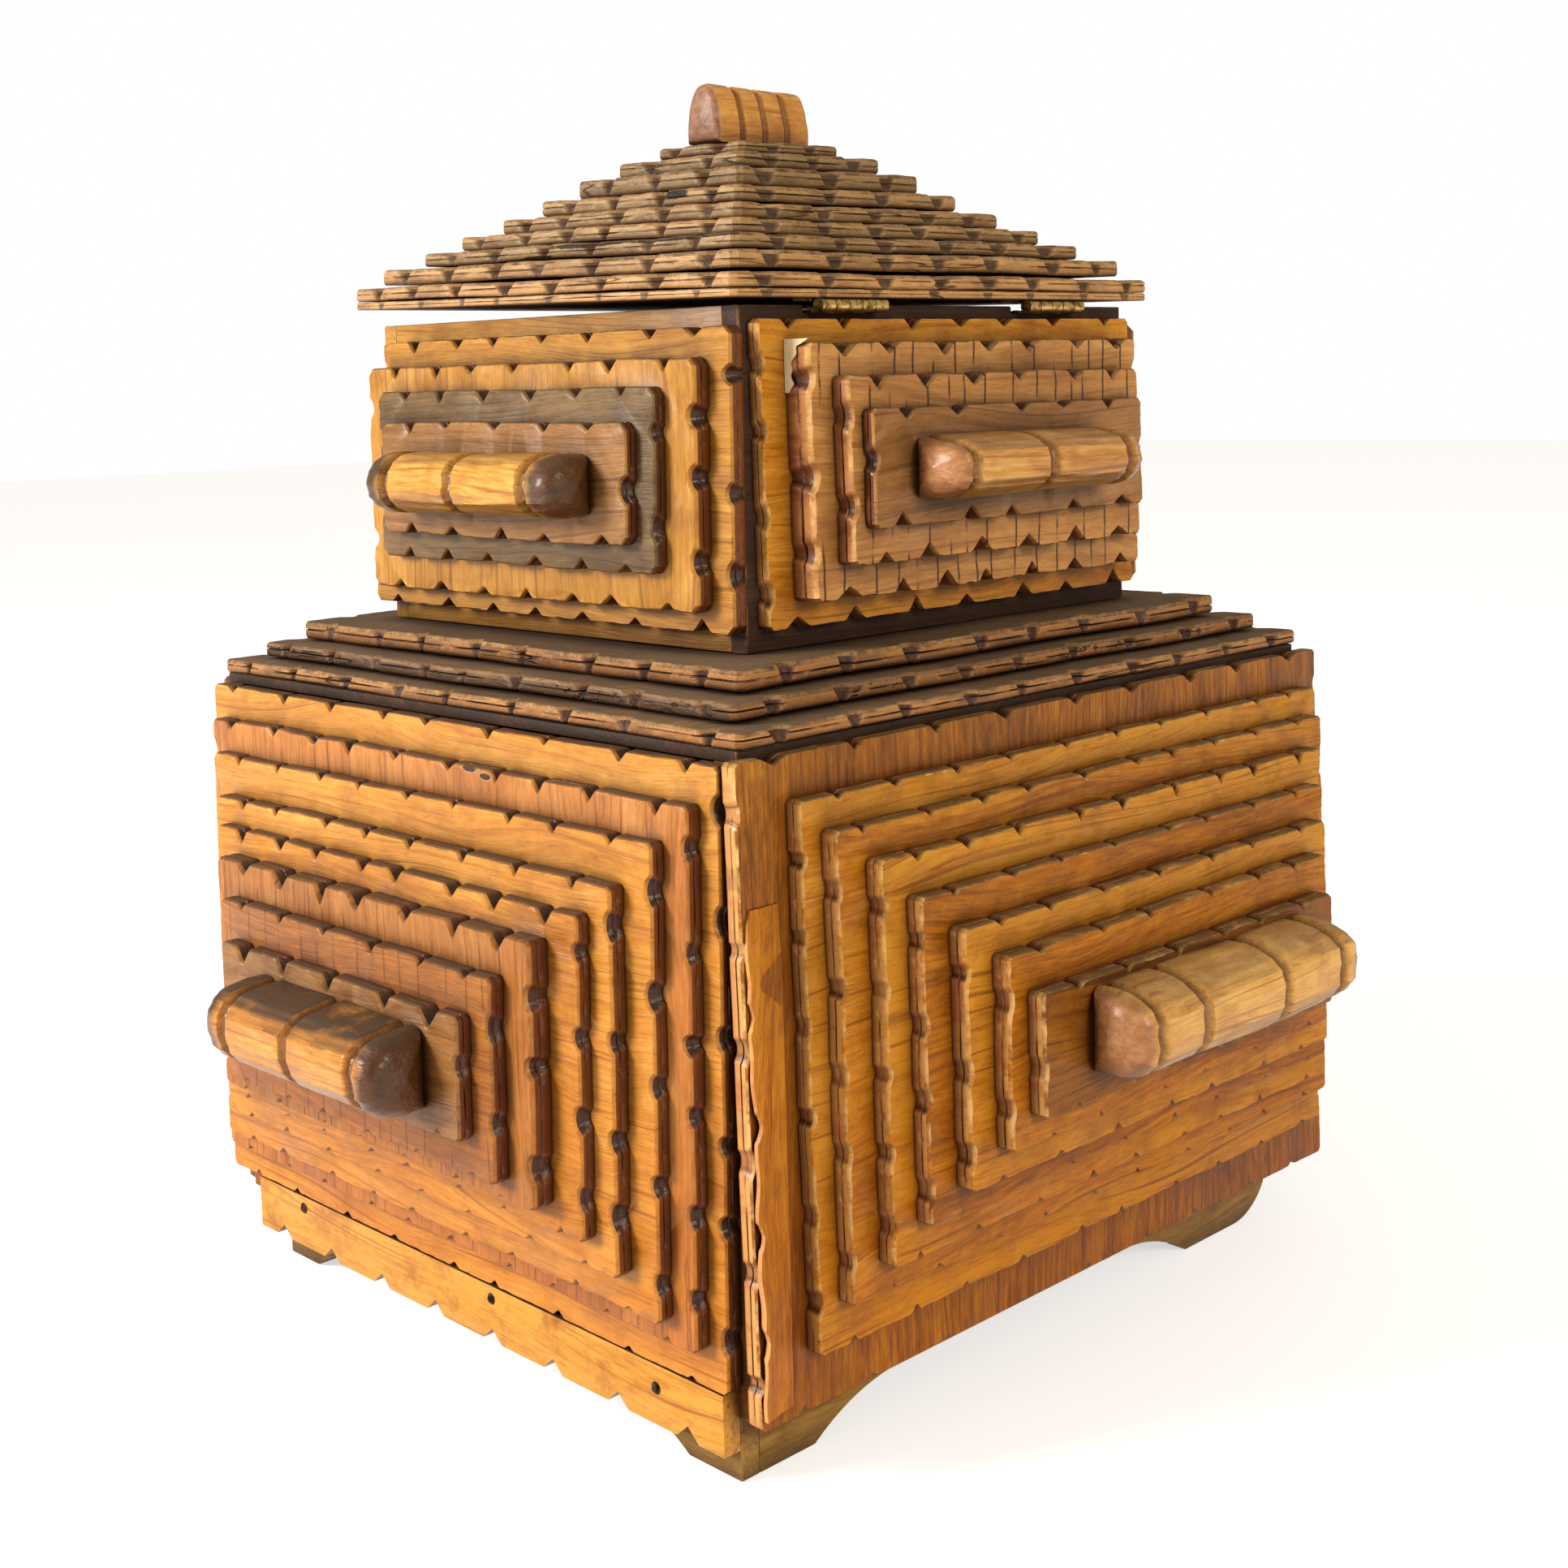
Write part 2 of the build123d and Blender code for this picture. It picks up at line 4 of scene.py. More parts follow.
import bmesh
import bpy
import numpy as np
from mathutils import Matrix, Vector


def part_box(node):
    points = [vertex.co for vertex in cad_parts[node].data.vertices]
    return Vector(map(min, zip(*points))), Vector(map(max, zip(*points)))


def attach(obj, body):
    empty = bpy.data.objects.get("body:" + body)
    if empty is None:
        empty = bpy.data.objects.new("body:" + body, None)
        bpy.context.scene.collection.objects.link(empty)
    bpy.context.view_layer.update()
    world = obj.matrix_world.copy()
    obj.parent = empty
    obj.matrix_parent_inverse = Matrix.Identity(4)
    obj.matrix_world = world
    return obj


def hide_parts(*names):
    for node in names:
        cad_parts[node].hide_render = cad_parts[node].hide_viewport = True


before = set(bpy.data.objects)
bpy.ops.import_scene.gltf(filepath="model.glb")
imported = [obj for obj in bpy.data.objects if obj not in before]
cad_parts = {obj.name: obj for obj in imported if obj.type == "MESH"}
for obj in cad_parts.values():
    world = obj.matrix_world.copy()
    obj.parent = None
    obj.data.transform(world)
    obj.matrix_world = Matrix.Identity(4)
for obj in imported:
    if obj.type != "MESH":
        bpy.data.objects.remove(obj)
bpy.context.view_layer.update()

# Tramp art box: notched boards stacked on a drawer case, an upper box and a pyramid lid.
# Everything is in metres and in the frame's own place; boards take their sizes from the frame's nodes.

scene = bpy.context.scene


# small helpers for node trees

class Flow:
    # one output of a node, ready for plain arithmetic
    def __init__(self, tree, socket):
        self.tree, self.socket = tree, socket

    def __add__(self, other):
        return calc("ADD", self, other)

    def __sub__(self, other):
        return calc("SUBTRACT", self, other)

    def __rsub__(self, other):
        return calc("SUBTRACT", other, self)

    def __mul__(self, other):
        return calc("MULTIPLY", self, other)

    def __truediv__(self, other):
        return calc("DIVIDE", self, other)

    def __rtruediv__(self, other):
        return calc("DIVIDE", other, self)

    def __abs__(self):
        return calc("ABSOLUTE", self)


def addNode(tree, kind, inputs=None, **settings):
    # inputs hold plain values, or outputs to link from
    node = tree.nodes.new(kind)
    for key, value in settings.items():
        setattr(node, key, value)
    for key, value in (inputs or {}).items():
        if isinstance(value, Flow):
            tree.links.new(value.socket, node.inputs[key])
        else:
            node.inputs[key].default_value = value
    return node


def wire(tree, kind, inputs=None, output=0, **settings):
    return Flow(tree, addNode(tree, kind, inputs, **settings).outputs[output])


def calc(operation, *values, clamp=False):
    tree = next(value.tree for value in values if isinstance(value, Flow))
    return wire(tree, "ShaderNodeMath", dict(enumerate(values)), operation=operation, use_clamp=clamp)


def stretch(vector, x, y, z):
    return wire(vector.tree, "ShaderNodeVectorMath", {0: vector, 1: (x, y, z)}, operation="MULTIPLY")


def scaled(vector, amount):
    return wire(vector.tree, "ShaderNodeVectorMath", {0: vector, "Scale": amount}, operation="SCALE")


def dot(vector, other):
    return wire(vector.tree, "ShaderNodeVectorMath", {0: vector, 1: other}, "Value", operation="DOT_PRODUCT")


def split(vector):
    node = addNode(vector.tree, "ShaderNodeSeparateXYZ", {0: vector})
    return [Flow(vector.tree, socket) for socket in node.outputs]


def joined(x=0.0, y=0.0, z=0.0):
    tree = next(value.tree for value in (x, y, z) if isinstance(value, Flow))
    return wire(tree, "ShaderNodeCombineXYZ", {0: x, 1: y, 2: z})


def noise(vector, scale=1.0, detail=2.0, rough=0.5, seed=None):
    inputs = {"Vector": vector, "Scale": scale, "Detail": detail, "Roughness": rough}
    if seed:
        return wire(vector.tree, "ShaderNodeTexNoise", {**inputs, "W": seed}, noise_dimensions="4D")
    return wire(vector.tree, "ShaderNodeTexNoise", inputs)


def span(value, low, high, toLow=0.0, toHigh=1.0):
    return wire(value.tree, "ShaderNodeMapRange", {0: value, 1: low, 2: high, 3: toLow, 4: toHigh})


def easeCurve(value, points):
    # a drawn curve from 0..1 to 0..1 with straight runs
    node = addNode(value.tree, "ShaderNodeFloatCurve", {"Value": value})
    line = node.mapping.curves[0]
    line.points[0].location, line.points[1].location = points[0], points[-1]
    for x, y in points[1:-1]:
        line.points.new(x, y)
    for point in line.points:
        point.handle_type = "VECTOR"
    node.mapping.update()
    return Flow(value.tree, node.outputs[0])


def newTree(name, sockets):
    # a geometry tree with named inputs; gives the tree, its inputs and their identifiers by name
    tree = bpy.data.node_groups.new(name, "GeometryNodeTree")
    tree.interface.new_socket("Geometry", in_out="INPUT", socket_type="NodeSocketGeometry")
    ids = {}
    for label, value in sockets.items():
        kind = {float: "NodeSocketFloat", int: "NodeSocketInt"}.get(type(value), "NodeSocketMaterial")
        socket = tree.interface.new_socket(label, in_out="INPUT", socket_type=kind)
        if value is not None:
            socket.default_value = value
        ids[label] = socket.identifier
    tree.interface.new_socket("Geometry", in_out="OUTPUT", socket_type="NodeSocketGeometry")
    given = {socket.name: Flow(tree, socket) for socket in addNode(tree, "NodeGroupInput").outputs}
    return tree, given, ids


def store(shape, label, value, kind="FLOAT", domain="POINT"):
    return wire(shape.tree, "GeometryNodeStoreNamedAttribute", {"Geometry": shape, "Name": label, "Value": value},
                data_type=kind, domain=domain)


def mergeNear(shape, distance):
    return wire(shape.tree, "GeometryNodeMergeByDistance", {"Geometry": shape, "Distance": distance})


def endTree(shape, finish):
    real = wire(shape.tree, "GeometryNodeRealizeInstances", {"Geometry": shape})
    done = wire(shape.tree, "GeometryNodeSetMaterial", {"Geometry": real, "Material": finish})
    addNode(shape.tree, "NodeGroupOutput", {0: done})


def bakeTree(tool, values, mesh):
    # runs a tree on a mesh and gives back the plain result
    tree, ids = tool
    holder = bpy.data.objects.new("holder", mesh)
    scene.collection.objects.link(holder)
    modifier = holder.modifiers.new("tree", "NODES")
    modifier.node_group = tree
    for label, value in values.items():
        modifier[ids[label]] = value
    graph = bpy.context.evaluated_depsgraph_get()
    baked = bpy.data.meshes.new_from_object(holder.evaluated_get(graph))
    bpy.data.objects.remove(holder)
    bpy.data.meshes.remove(mesh)
    return baked


def readMesh(mesh, wanted):
    # vertices, faces and named point attributes of a plain mesh, which is then removed
    spots = np.zeros(len(mesh.vertices) * 3)
    mesh.vertices.foreach_get("co", spots)
    faces = [tuple(face.vertices) for face in mesh.polygons]
    found = {}
    for label in wanted:
        found[label] = np.zeros(len(mesh.vertices))
        mesh.attributes[label].data.foreach_get("value", found[label])
    bpy.data.meshes.remove(mesh)
    return spots.reshape(-1, 3), faces, found


def placeMesh(name, mesh, sharpFrom):
    mesh.name = name
    mesh.shade_smooth()
    mesh.set_sharp_from_angle(angle=radians(sharpFrom))
    piece = bpy.data.objects.new(name, mesh)
    scene.collection.objects.link(piece)
    return piece


def joinParts(name, parts, materials):
    # one mesh object from parts; each holds spots, faces, material number, point and face attributes
    faces, numbers, start = [], [], 0
    for part in parts:
        faces += [tuple(start + corner for corner in face) for face in part["faces"]]
        numbers += [part["material"]] * len(part["faces"])
        start += len(part["spots"])
    mesh = bpy.data.meshes.new(name)
    mesh.from_pydata(np.concatenate([part["spots"] for part in parts]).tolist(), [], faces)
    for group, domain in (("points", "POINT"), ("sides", "FACE")):
        for label in sorted(parts[0][group]):
            column = np.concatenate([part[group][label] for part in parts])
            kind, field = ("FLOAT_VECTOR", "vector") if column.ndim == 2 else ("FLOAT", "value")
            mesh.attributes.new(label, kind, domain).data.foreach_set(field, column.ravel())
    for material in materials:
        mesh.materials.append(material)
    mesh.polygons.foreach_set("material_index", numbers)
    shape = bmesh.new()
    shape.from_mesh(mesh)
    bmesh.ops.recalc_face_normals(shape, faces=shape.faces)
    shape.to_mesh(mesh)
    shape.free()
    return placeMesh(name, mesh, 38)


def handOver(piece, body, slot, *nodes):
    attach(piece, body)
    if nodes:
        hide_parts(*nodes)


# finishes

def readLook(settings):
    # a tuple of three whole numbers is a colour as seen on screen, turned here to the renderer's scale
    look = dict(settings)
    for key, value in settings.items():
        if isinstance(value, tuple):
            look[key] = tuple(part / 255 / 12.92 if part < 11 else ((part / 255 + 0.055) / 1.055) ** 2.4
                              for part in value) + (1.0,)
    return look


def blend(amount, first, second, mode="MIX"):
    return wire(amount.tree, "ShaderNodeMix", {0: amount, 6: first, 7: second}, 2, data_type="RGBA", blend_type=mode)


def newFinish(name):
    material = bpy.data.materials.new(name)
    material.use_nodes = True
    material.node_tree.nodes.clear()
    return material, material.node_tree


def shadeRamp(value, stops):
    ramp = addNode(value.tree, "ShaderNodeValToRGB", {0: value})
    for element, (position, shade) in zip(ramp.color_ramp.elements, (stops[0], stops[-1])):
        element.position, element.color = position, shade
    for position, shade in stops[1:-1]:
        ramp.color_ramp.elements.new(position).color = shade
    return Flow(value.tree, ramp.outputs[0])


def shadedCorners(tree, distance):
    return wire(tree, "ShaderNodeAmbientOcclusion", {"Distance": distance}, "AO", samples=6)


# how far each layer of the figure is drawn out: along the grain, across it and into the board
figureReach = {
    "wander": (8, 30, 30), "bands": (7, 110, 60), "streaks": (20, 420, 300), "fibres": (60, 1500, 1000),
    "lines": (11, 760, 500), "dashes": (120, 820, 560), "pores": (190, 2400, 1500),
}
# these colours include painted light and shade: the wall colour partly painted shade, the rubbed arris colour also a
# painted highlight, the underside and upward-notch colours painted shade, the corner colour dirt with painted shade,
# and the right-facing tints painted light
baseWood = {
    "wall": (102, 46, 18), "wallAmount": 0.85, "worn": (236, 174, 92), "wornAmount": 0.25,
    "dust": (92, 70, 48), "dustAmount": 0.9, "dirt": (46, 24, 12), "dirtAmount": 0.85,
    "crack": (66, 30, 16), "cracks": 0.0, "crackPitch": 120, "splits": 0.0, "pits": 0.0, "scars": [],
    "flecks": 0.25, "lines": 0.75, "dashes": 0.2, "ripple": 0.0, "blotch": 0.55, "contrast": 1.55,
    "rough": 0.44, "wallRough": 0.28, "shine": 0.28, "coat": 0.1, "bump": 0.55,
    "deep": (242, 208, 112), "deepAmount": 0.65, "ply": (116, 58, 24), "plyAmount": 0.5, "seam": (74, 24, 10),
    "notch": (48, 22, 10), "notchAmount": 0.8, "notchTopShade": (50, 28, 14), "under": (96, 50, 18), "underAmount": 0.6,
    "endShade": (92, 40, 16), "endLight": (140, 78, 40), "groove": (98, 46, 18), "chipped": None,
    "paintedRightLight": (255, 255, 255), "paintedRightWallLight": None, "smut": (74, 42, 22), "smutAmount": 0.25,
}


def woodFinish(name, dark, mid, light, **changes):
    look = readLook({**baseWood, "dark": dark, "mid": mid, "light": light, **changes})
    material, tree = newFinish(name)

    def given(label, output="Fac"):
        return wire(tree, "ShaderNodeAttribute", output=output, attribute_name=label)

    def tint(shade, amount, target, share):
        return blend(amount * share, shade, target)

    grain, place, cross = given("grain", "Vector"), given("place", "Vector"), given("cross", "Vector")
    wall, groove, end = given("wall"), given("groove"), given("end")
    spot = wire(tree, "ShaderNodeTexCoord", output="Object")
    spotX, spotY, spotZ = split(spot)
    facingX, facingY, facingZ = split(wire(tree, "ShaderNodeNewGeometry", output="Normal"))

    # bands, fibres and pores, all drawn out along the grain
    reach = figureReach
    shift = joined(y=noise(stretch(grain, *reach["wander"]), detail=1) * 0.024)
    bent = wire(tree, "ShaderNodeVectorMath", {0: grain, 1: shift}, operation="ADD")
    bands = noise(stretch(bent, *reach["bands"]), detail=3, rough=0.6)
    streaks = noise(stretch(bent, *reach["streaks"]), detail=4, rough=0.7)
    fibres = noise(stretch(bent, *reach["fibres"]), detail=3, rough=0.6)
    dashes = noise(stretch(bent, *reach["dashes"]), detail=2, rough=0.6)
    pores = noise(stretch(bent, *reach["pores"]), detail=1)
    blotches = noise(spot, 24, 4, 0.6)
    figure = given("tone") * 0.14 + bands * 0.26 + fibres * 0.1 + streaks * 0.26 + dashes * look["dashes"]
    figure = figure + blotches * 0.22
    if look["ripple"]:
        # plane marks at a slant over the strips
        weave = joined(dot(grain, (0.5, 0.86, 0)) * 110.0, dot(grain, (-0.86, 0.5, 0)) * 1300.0)
        figure = figure + (noise(weave) - 0.5) * look["ripple"]
    figure = span(figure, 0.52 - 0.22 / look["contrast"], 0.52 + 0.22 / look["contrast"])
    shade = shadeRamp(figure, [(0.0, look["dark"]), (0.5, look["mid"]), (1.0, look["light"])])
    poreMask = span(pores, 0.6, 0.7) * look["flecks"]
    shade = blend(poreMask, shade, look["dark"], "MULTIPLY")
    shade = tint(shade, span(noise(stretch(bent, *reach["lines"])), 0.58, 0.7), look["dark"], look["lines"])
    shade = tint(shade, span(noise(spot, 60, 4, 0.65), 0.5, 0.72), look["dark"], look["blotch"])

    # the colour deepens towards the floor
    shade = blend(span(spotZ, 0.17, 0.03, 0.0, look["deepAmount"]), shade, look["deep"], "MULTIPLY")

    # side walls take another colour, partly their plies' own and partly painted shade (dark walls that face away from
    # the lamp) and painted light (pale walls that face it); the back ply has its own, and front arrises are painted
    # pale, as rubbed wear and painted highlight
    shade = tint(shade, wall, look["wall"], look["wallAmount"])
    plyLevel = split(place)[2]
    streak = span(noise(stretch(grain, 25, 25, 900)), 0.3, 0.6)
    shade = tint(shade, wall * calc("LESS_THAN", plyLevel, 0.48) * streak, look["ply"], look["plyAmount"])
    seam = span(abs(plyLevel - 0.5), 0.02, 0.07, 1.0, 0.0)
    shade = tint(shade, seam * wall * span(noise(spot, 120), 0.4, 0.55), look["seam"], 0.8)
    # painted light: walls turned to the right are brightened towards a warm lit colour
    if look["paintedRightWallLight"]:
        shade = tint(shade, span(facingX, 0.3, 0.7) * wall, look["paintedRightWallLight"], 0.75)
    smut = noise(stretch(spot, 45, 45, 160), detail=4, rough=0.65)
    shade = tint(shade, span(smut, 0.5, 0.62) * wall, look["smut"], look["smutAmount"])
    # rubbed wear with painted highlight along the front arrises
    rubAndGlint = span(noise(spot, 170, 3, 0.7), 0.4, 0.62)
    shade = tint(shade, given("lip") * rubAndGlint, look["worn"], look["wornAmount"])

    # cracks across the strips near a board's top and bottom edges, splits along the plies, and single scars
    hollows = []
    if look["cracks"]:
        along = (split(cross)[0] + noise(stretch(cross, 60, 120, 1)) * 0.0016) * look["crackPitch"]
        cells = wire(tree, "ShaderNodeTexVoronoi", {"W": along, "Scale": 1.0}, "Distance",
                     voronoi_dimensions="1D", feature="DISTANCE_TO_EDGE")
        gate = span(noise(stretch(cross, 70, 90, 1)), 0.38, 0.5)
        strip = span(abs(split(place)[1]), 0.5, 0.66)
        cracks = calc("MULTIPLY", span(cells, 0.015, 0.055, 1.0, 0.0) * gate, strip * look["cracks"], clamp=True)
        shade = blend(cracks, shade, look["crack"])
        hollows.append(cracks)
    if look["splits"]:
        layer = noise(stretch(spot, 10, 10, 130), detail=3, rough=0.55)
        thin = span(abs(layer - 0.5), 0.002, 0.012, 1.0, 0.0)
        gate = span(noise(stretch(spot, 24, 24, 50), detail=1), 0.55, 0.6)
        thin = thin * gate * (wall * look["splits"])
        if look["pits"]:
            holes = span(noise(stretch(spot, 260, 260, 420), detail=3, rough=0.6), 0.58, 0.64)
            near = span(noise(stretch(spot, 30, 30, 60), detail=1), 0.45, 0.6)
            thin = calc("MAXIMUM", thin, holes * near * (wall * look["pits"]))
        shade = blend(thin, shade, look["crack"])
        hollows.append(thin)
    if look["scars"]:
        ragged = (noise(spot, 300, 3, 0.7) - 0.5) * 1.2
        front = calc("LESS_THAN", facingY, -0.2)
        for x, z, halfLong, halfTall in look["scars"]:
            wide, tall = (spotX - x) / halfLong, (spotZ - z) / halfTall
            far = calc("SQRT", wide * wide + tall * tall) + ragged
            if look["chipped"]:
                shade = blend(span(far, 1.1, 1.45, 0.7, 0.0) * front, shade, look["chipped"])
            scar = span(far, 0.85, 1.1, 1.0, 0.0) * front
            shade = blend(scar, shade, look["crack"])
            hollows.append(scar)

    # grooves of the bars, and their end grain, darker partly from stain and partly as painted shade on ends turned away
    # from the lamp
    shade = tint(shade, groove, look["groove"], 0.92)
    rings = span(noise(stretch(spot, 330, 330, 520), detail=4, rough=0.65), 0.3, 0.7)
    shade = tint(shade, end, blend(rings, look["endShade"], look["endLight"]), 0.95)

    # undersides get painted shade, dust lies on what faces up, the notches take a colour that is partly pooled varnish
    # and partly painted shade, pale on the right face as painted highlight, and corners get painted shade with dirt
    shade = tint(shade, span(facingZ, -0.15, -0.75), look["under"], look["underAmount"])
    drift = span(noise(spot, 70, 4, 0.6), 0.15, 0.5)
    dust = span(facingZ, 0.5, 0.9) * drift * look["dustAmount"]
    shade = blend(dust, shade, look["dust"])
    # the notch colour is partly pooled varnish and partly painted shade; on the right face it is pale, a painted
    # highlight
    notched = span(given("notch"), 0.08, 0.5) * wall
    shade = tint(shade, notched, look["notch"], look["notchAmount"])
    # painted shade on the upward facets of the notches
    shade = tint(shade, notched * span(facingZ, 0.1, 0.4), look["notchTopShade"], 0.85)
    # painted light: faces turned to the right are tinted as if lit
    shade = blend(span(facingX, 0.3, 0.8), shade, look["paintedRightLight"], "MULTIPLY")
    # painted shade with dirt: occlusion darkens corners, notches and the roots of the boards
    shade = tint(shade, span(shadedCorners(tree, 0.009), 0.35, 0.94, 1.0, 0.0), look["dirt"], look["dirtAmount"])

    # relief and gloss
    height = fibres * 0.6 + bands * 0.6 + noise(spot, 230) * 0.6 - poreMask * 0.5
    if hollows:
        hollow = hollows[0]
        for other in hollows[1:]:
            hollow = calc("MAXIMUM", hollow, other)
        height = height - hollow * 2.5
    height = height - end * rings * 0.6
    relief = wire(tree, "ShaderNodeBump", {"Height": height, "Strength": look["bump"], "Distance": 0.0006})
    gloss = span(blotches, 0.3, 0.7, look["rough"] - 0.1, look["rough"] + 0.12)
    gloss = gloss + wall * (look["wallRough"] - look["rough"])
    skin = wire(tree, "ShaderNodeBsdfPrincipled", {
        "Base Color": shade, "Roughness": calc("ADD", gloss, dust * 0.35, clamp=True), "Normal": relief,
        "Specular IOR Level": look["shine"], "Coat Weight": look["coat"], "Coat Roughness": 0.2})
    addNode(tree, "ShaderNodeOutputMaterial", {"Surface": skin})
    return material


goldenWood = woodFinish("goldenWood", (132, 80, 22), (184, 124, 38), (216, 158, 68))
honeyWood = woodFinish("honeyWood", (158, 94, 26), (210, 140, 46), (234, 172, 80))
pinkWood = woodFinish("pinkWood", (148, 84, 34), (196, 124, 54), (220, 152, 80), cracks=0.3, chipped=(196, 160, 118),
                      scars=[(0.0232, 0.1654, 0.0032, 0.0008), (0.0300, 0.1640, 0.0024, 0.0008)])
rustWood = woodFinish("rustWood", (126, 70, 28), (176, 111, 46), (202, 140, 74), cracks=0.35)
umberWood = woodFinish("umberWood", (106, 66, 28), (152, 104, 52), (182, 132, 78), deepAmount=0.2)
apronWood = woodFinish("apronWood", (158, 94, 26), (202, 140, 42), (228, 172, 76), blotch=0.9, contrast=1.8,
                       deepAmount=0.5, dashes=0.3)
oliveWood = woodFinish("oliveWood", (66, 48, 24), (98, 72, 38), (136, 104, 62), contrast=1.6, worn=(190, 150, 100),
                       wall=(76, 44, 22), deepAmount=0.0)
redBrownWood = woodFinish("redBrownWood", (148, 96, 48), (198, 141, 75), (224, 172, 105), cracks=1.0, shine=0.24,
                          wall=(196, 128, 80), wallAmount=0.7, ply=(150, 84, 50), notch=(96, 50, 30),
                          underAmount=0.8, worn=(240, 190, 122), wornAmount=0.6, smut=(120, 62, 34), smutAmount=0.6)

# the right face has pale walls, rubbed and painted light where the lamp falls on them, pale notch scoops as painted
# highlight, and turns orange towards the floor
rightLook = {
    "wall": (234, 176, 100), "wallAmount": 0.8, "ply": (196, 128, 88), "plyAmount": 0.6, "notch": (150, 96, 66),
    "notchAmount": 0.55, "ripple": 0.08, "shine": 0.17, "coat": 0.11, "dust": (104, 84, 50), "deep": (250, 228, 30),
    "deepAmount": 0.9, "seam": (96, 36, 16), "smut": (184, 92, 56), "smutAmount": 0.5, "dashes": 0.26,
    "contrast": 1.9, "dirt": (66, 26, 8), "worn": (246, 200, 132), "wornAmount": 0.7,
}
brownWood = woodFinish("brownWood", (132, 75, 6), (188, 116, 18), (214, 149, 46), **rightLook)
crackedBrown = woodFinish("crackedBrown", (118, 66, 8), (168, 102, 20), (198, 136, 46), cracks=0.35, crackPitch=260,
                          **rightLook)
deepBrown = woodFinish("deepBrown", (84, 46, 6), (130, 76, 16), (158, 102, 36), **rightLook)

# the shoulder and the lid are weathered, split along their plies and dusty
weathered = (88, 58, 34), (132, 94, 58), (172, 128, 80)
weatheredLook = {
    "dust": (104, 84, 64), "dustAmount": 0.95, "smut": (112, 80, 54), "smutAmount": 0.6, "deepAmount": 0.0,
    "notch": (92, 60, 50), "notchAmount": 0.85, "notchTopShade": (78, 50, 38), "contrast": 1.6, "worn": (214, 164, 104),
    "wornAmount": 0.45, "rough": 0.54, "wallRough": 0.44, "flecks": 0.6, "bump": 0.8, "seam": (46, 22, 12),
    "splits": 0.9, "crack": (28, 16, 10), "coat": 0.0, "wallAmount": 0.75,
}
weatheredWood = woodFinish("weatheredWood", *weathered, **{
    **weatheredLook, "wall": (206, 142, 78), "ply": (150, 96, 56)})
greyWood = woodFinish("greyWood", *weathered, **{
    **weatheredLook, "wall": (112, 86, 62), "wallAmount": 0.85, "ply": (80, 60, 44), "pits": 0.95,
    "paintedRightWallLight": (204, 140, 76), "worn": (150, 122, 94)})
lidLook = {
    **weatheredLook, "dust": (132, 106, 80), "dustAmount": 0.6, "notch": (92, 68, 48), "notchAmount": 0.8,
    "notchTopShade": (84, 62, 44), "splits": 0.7, "wornAmount": 0.55, "paintedRightLight": (255, 248, 230), "dirtAmount": 0.5,
    "smut": (128, 100, 70),
    "scars": [(0.018, 0.3154, 0.0055, 0.0014), (0.050, 0.3008, 0.022, 0.0008), (0.012, 0.3012, 0.018, 0.0007),
              (-0.013, 0.2985, 0.007, 0.0008)],
}
lidWood = woodFinish("lidWood", *weathered, **{
    **lidLook, "wall": (202, 168, 122), "ply": (150, 118, 82), "worn": (214, 172, 124)})
lidPaleWood = woodFinish("lidPaleWood", weathered[0], weathered[1], (190, 144, 92), **{
    **lidLook, "wall": (224, 176, 120), "ply": (172, 124, 80), "worn": (228, 184, 134)})
lidDarkWood = woodFinish("lidDarkWood", weathered[0], (122, 92, 62), weathered[2], **{
    **lidLook, "wall": (180, 150, 108), "ply": (132, 108, 76), "worn": (190, 154, 114)})

# bars are varnished; the front and back bars have dark ends, stain with painted shade, the side bars pale ones
barLook = {"dustAmount": 0.4, "contrast": 1.7, "rough": 0.36, "coat": 0.25, "dashes": 0.3}
barWood = woodFinish("barWood", (150, 88, 22), (208, 146, 50), (238, 186, 90), **barLook, endShade=(38, 16, 8),
                     endLight=(82, 40, 16))
pullWood = woodFinish("pullWood", (150, 88, 22), (204, 138, 46), (232, 174, 80), endShade=(40, 18, 8),
                      endLight=(86, 44, 18), dust=(70, 50, 32), **{**barLook, "dustAmount": 1.0})
paleBarWood = woodFinish("paleBarWood", (160, 100, 44), (214, 154, 76), (240, 194, 112), endShade=(150, 92, 52),
                         endLight=(196, 140, 92), groove=(106, 56, 24),
                         **{**barLook, "dustAmount": 0.5, "contrast": 1.5})
handleWood = woodFinish("handleWood", (158, 94, 34), (218, 154, 72), (244, 190, 106), dustAmount=0.3, contrast=1.5,
                        rough=0.42, endShade=(112, 76, 58), endLight=(164, 120, 96), groove=(124, 72, 34))

# plain boards
plainLook = {"wallAmount": 0.0, "wornAmount": 0.3, "rough": 0.58, "coat": 0.0}
caseWood = woodFinish("caseWood", (96, 54, 18), (146, 92, 36), (176, 120, 58), **plainLook)
plinthWood = woodFinish("plinthWood", (104, 68, 26), (158, 116, 50), (192, 148, 78), **plainLook, blotch=0.7,
                        deepAmount=0.0)
# painted shade: a dark finish for the case top and the right upper side wall, which lie in shadow
paintedShadeWood = woodFinish("paintedShadeWood", (36, 22, 12), (58, 36, 20), (90, 60, 34), deepAmount=0.0,
                       **{**plainLook, "rough": 0.6})
drawerWood = woodFinish("drawerWood", (150, 104, 56), (192, 148, 90), (216, 176, 118), dustAmount=0.3, deepAmount=0.0,
                        underAmount=0.2, **{**plainLook, "wornAmount": 0.2, "rough": 0.66})
bareWood = woodFinish("bareWood", (214, 188, 140), (246, 230, 190), (255, 246, 222), wallAmount=0.0, rough=0.7,
                      dustAmount=0.0, deepAmount=0.0, coat=0.0, dirtAmount=0.3, lines=0.4)


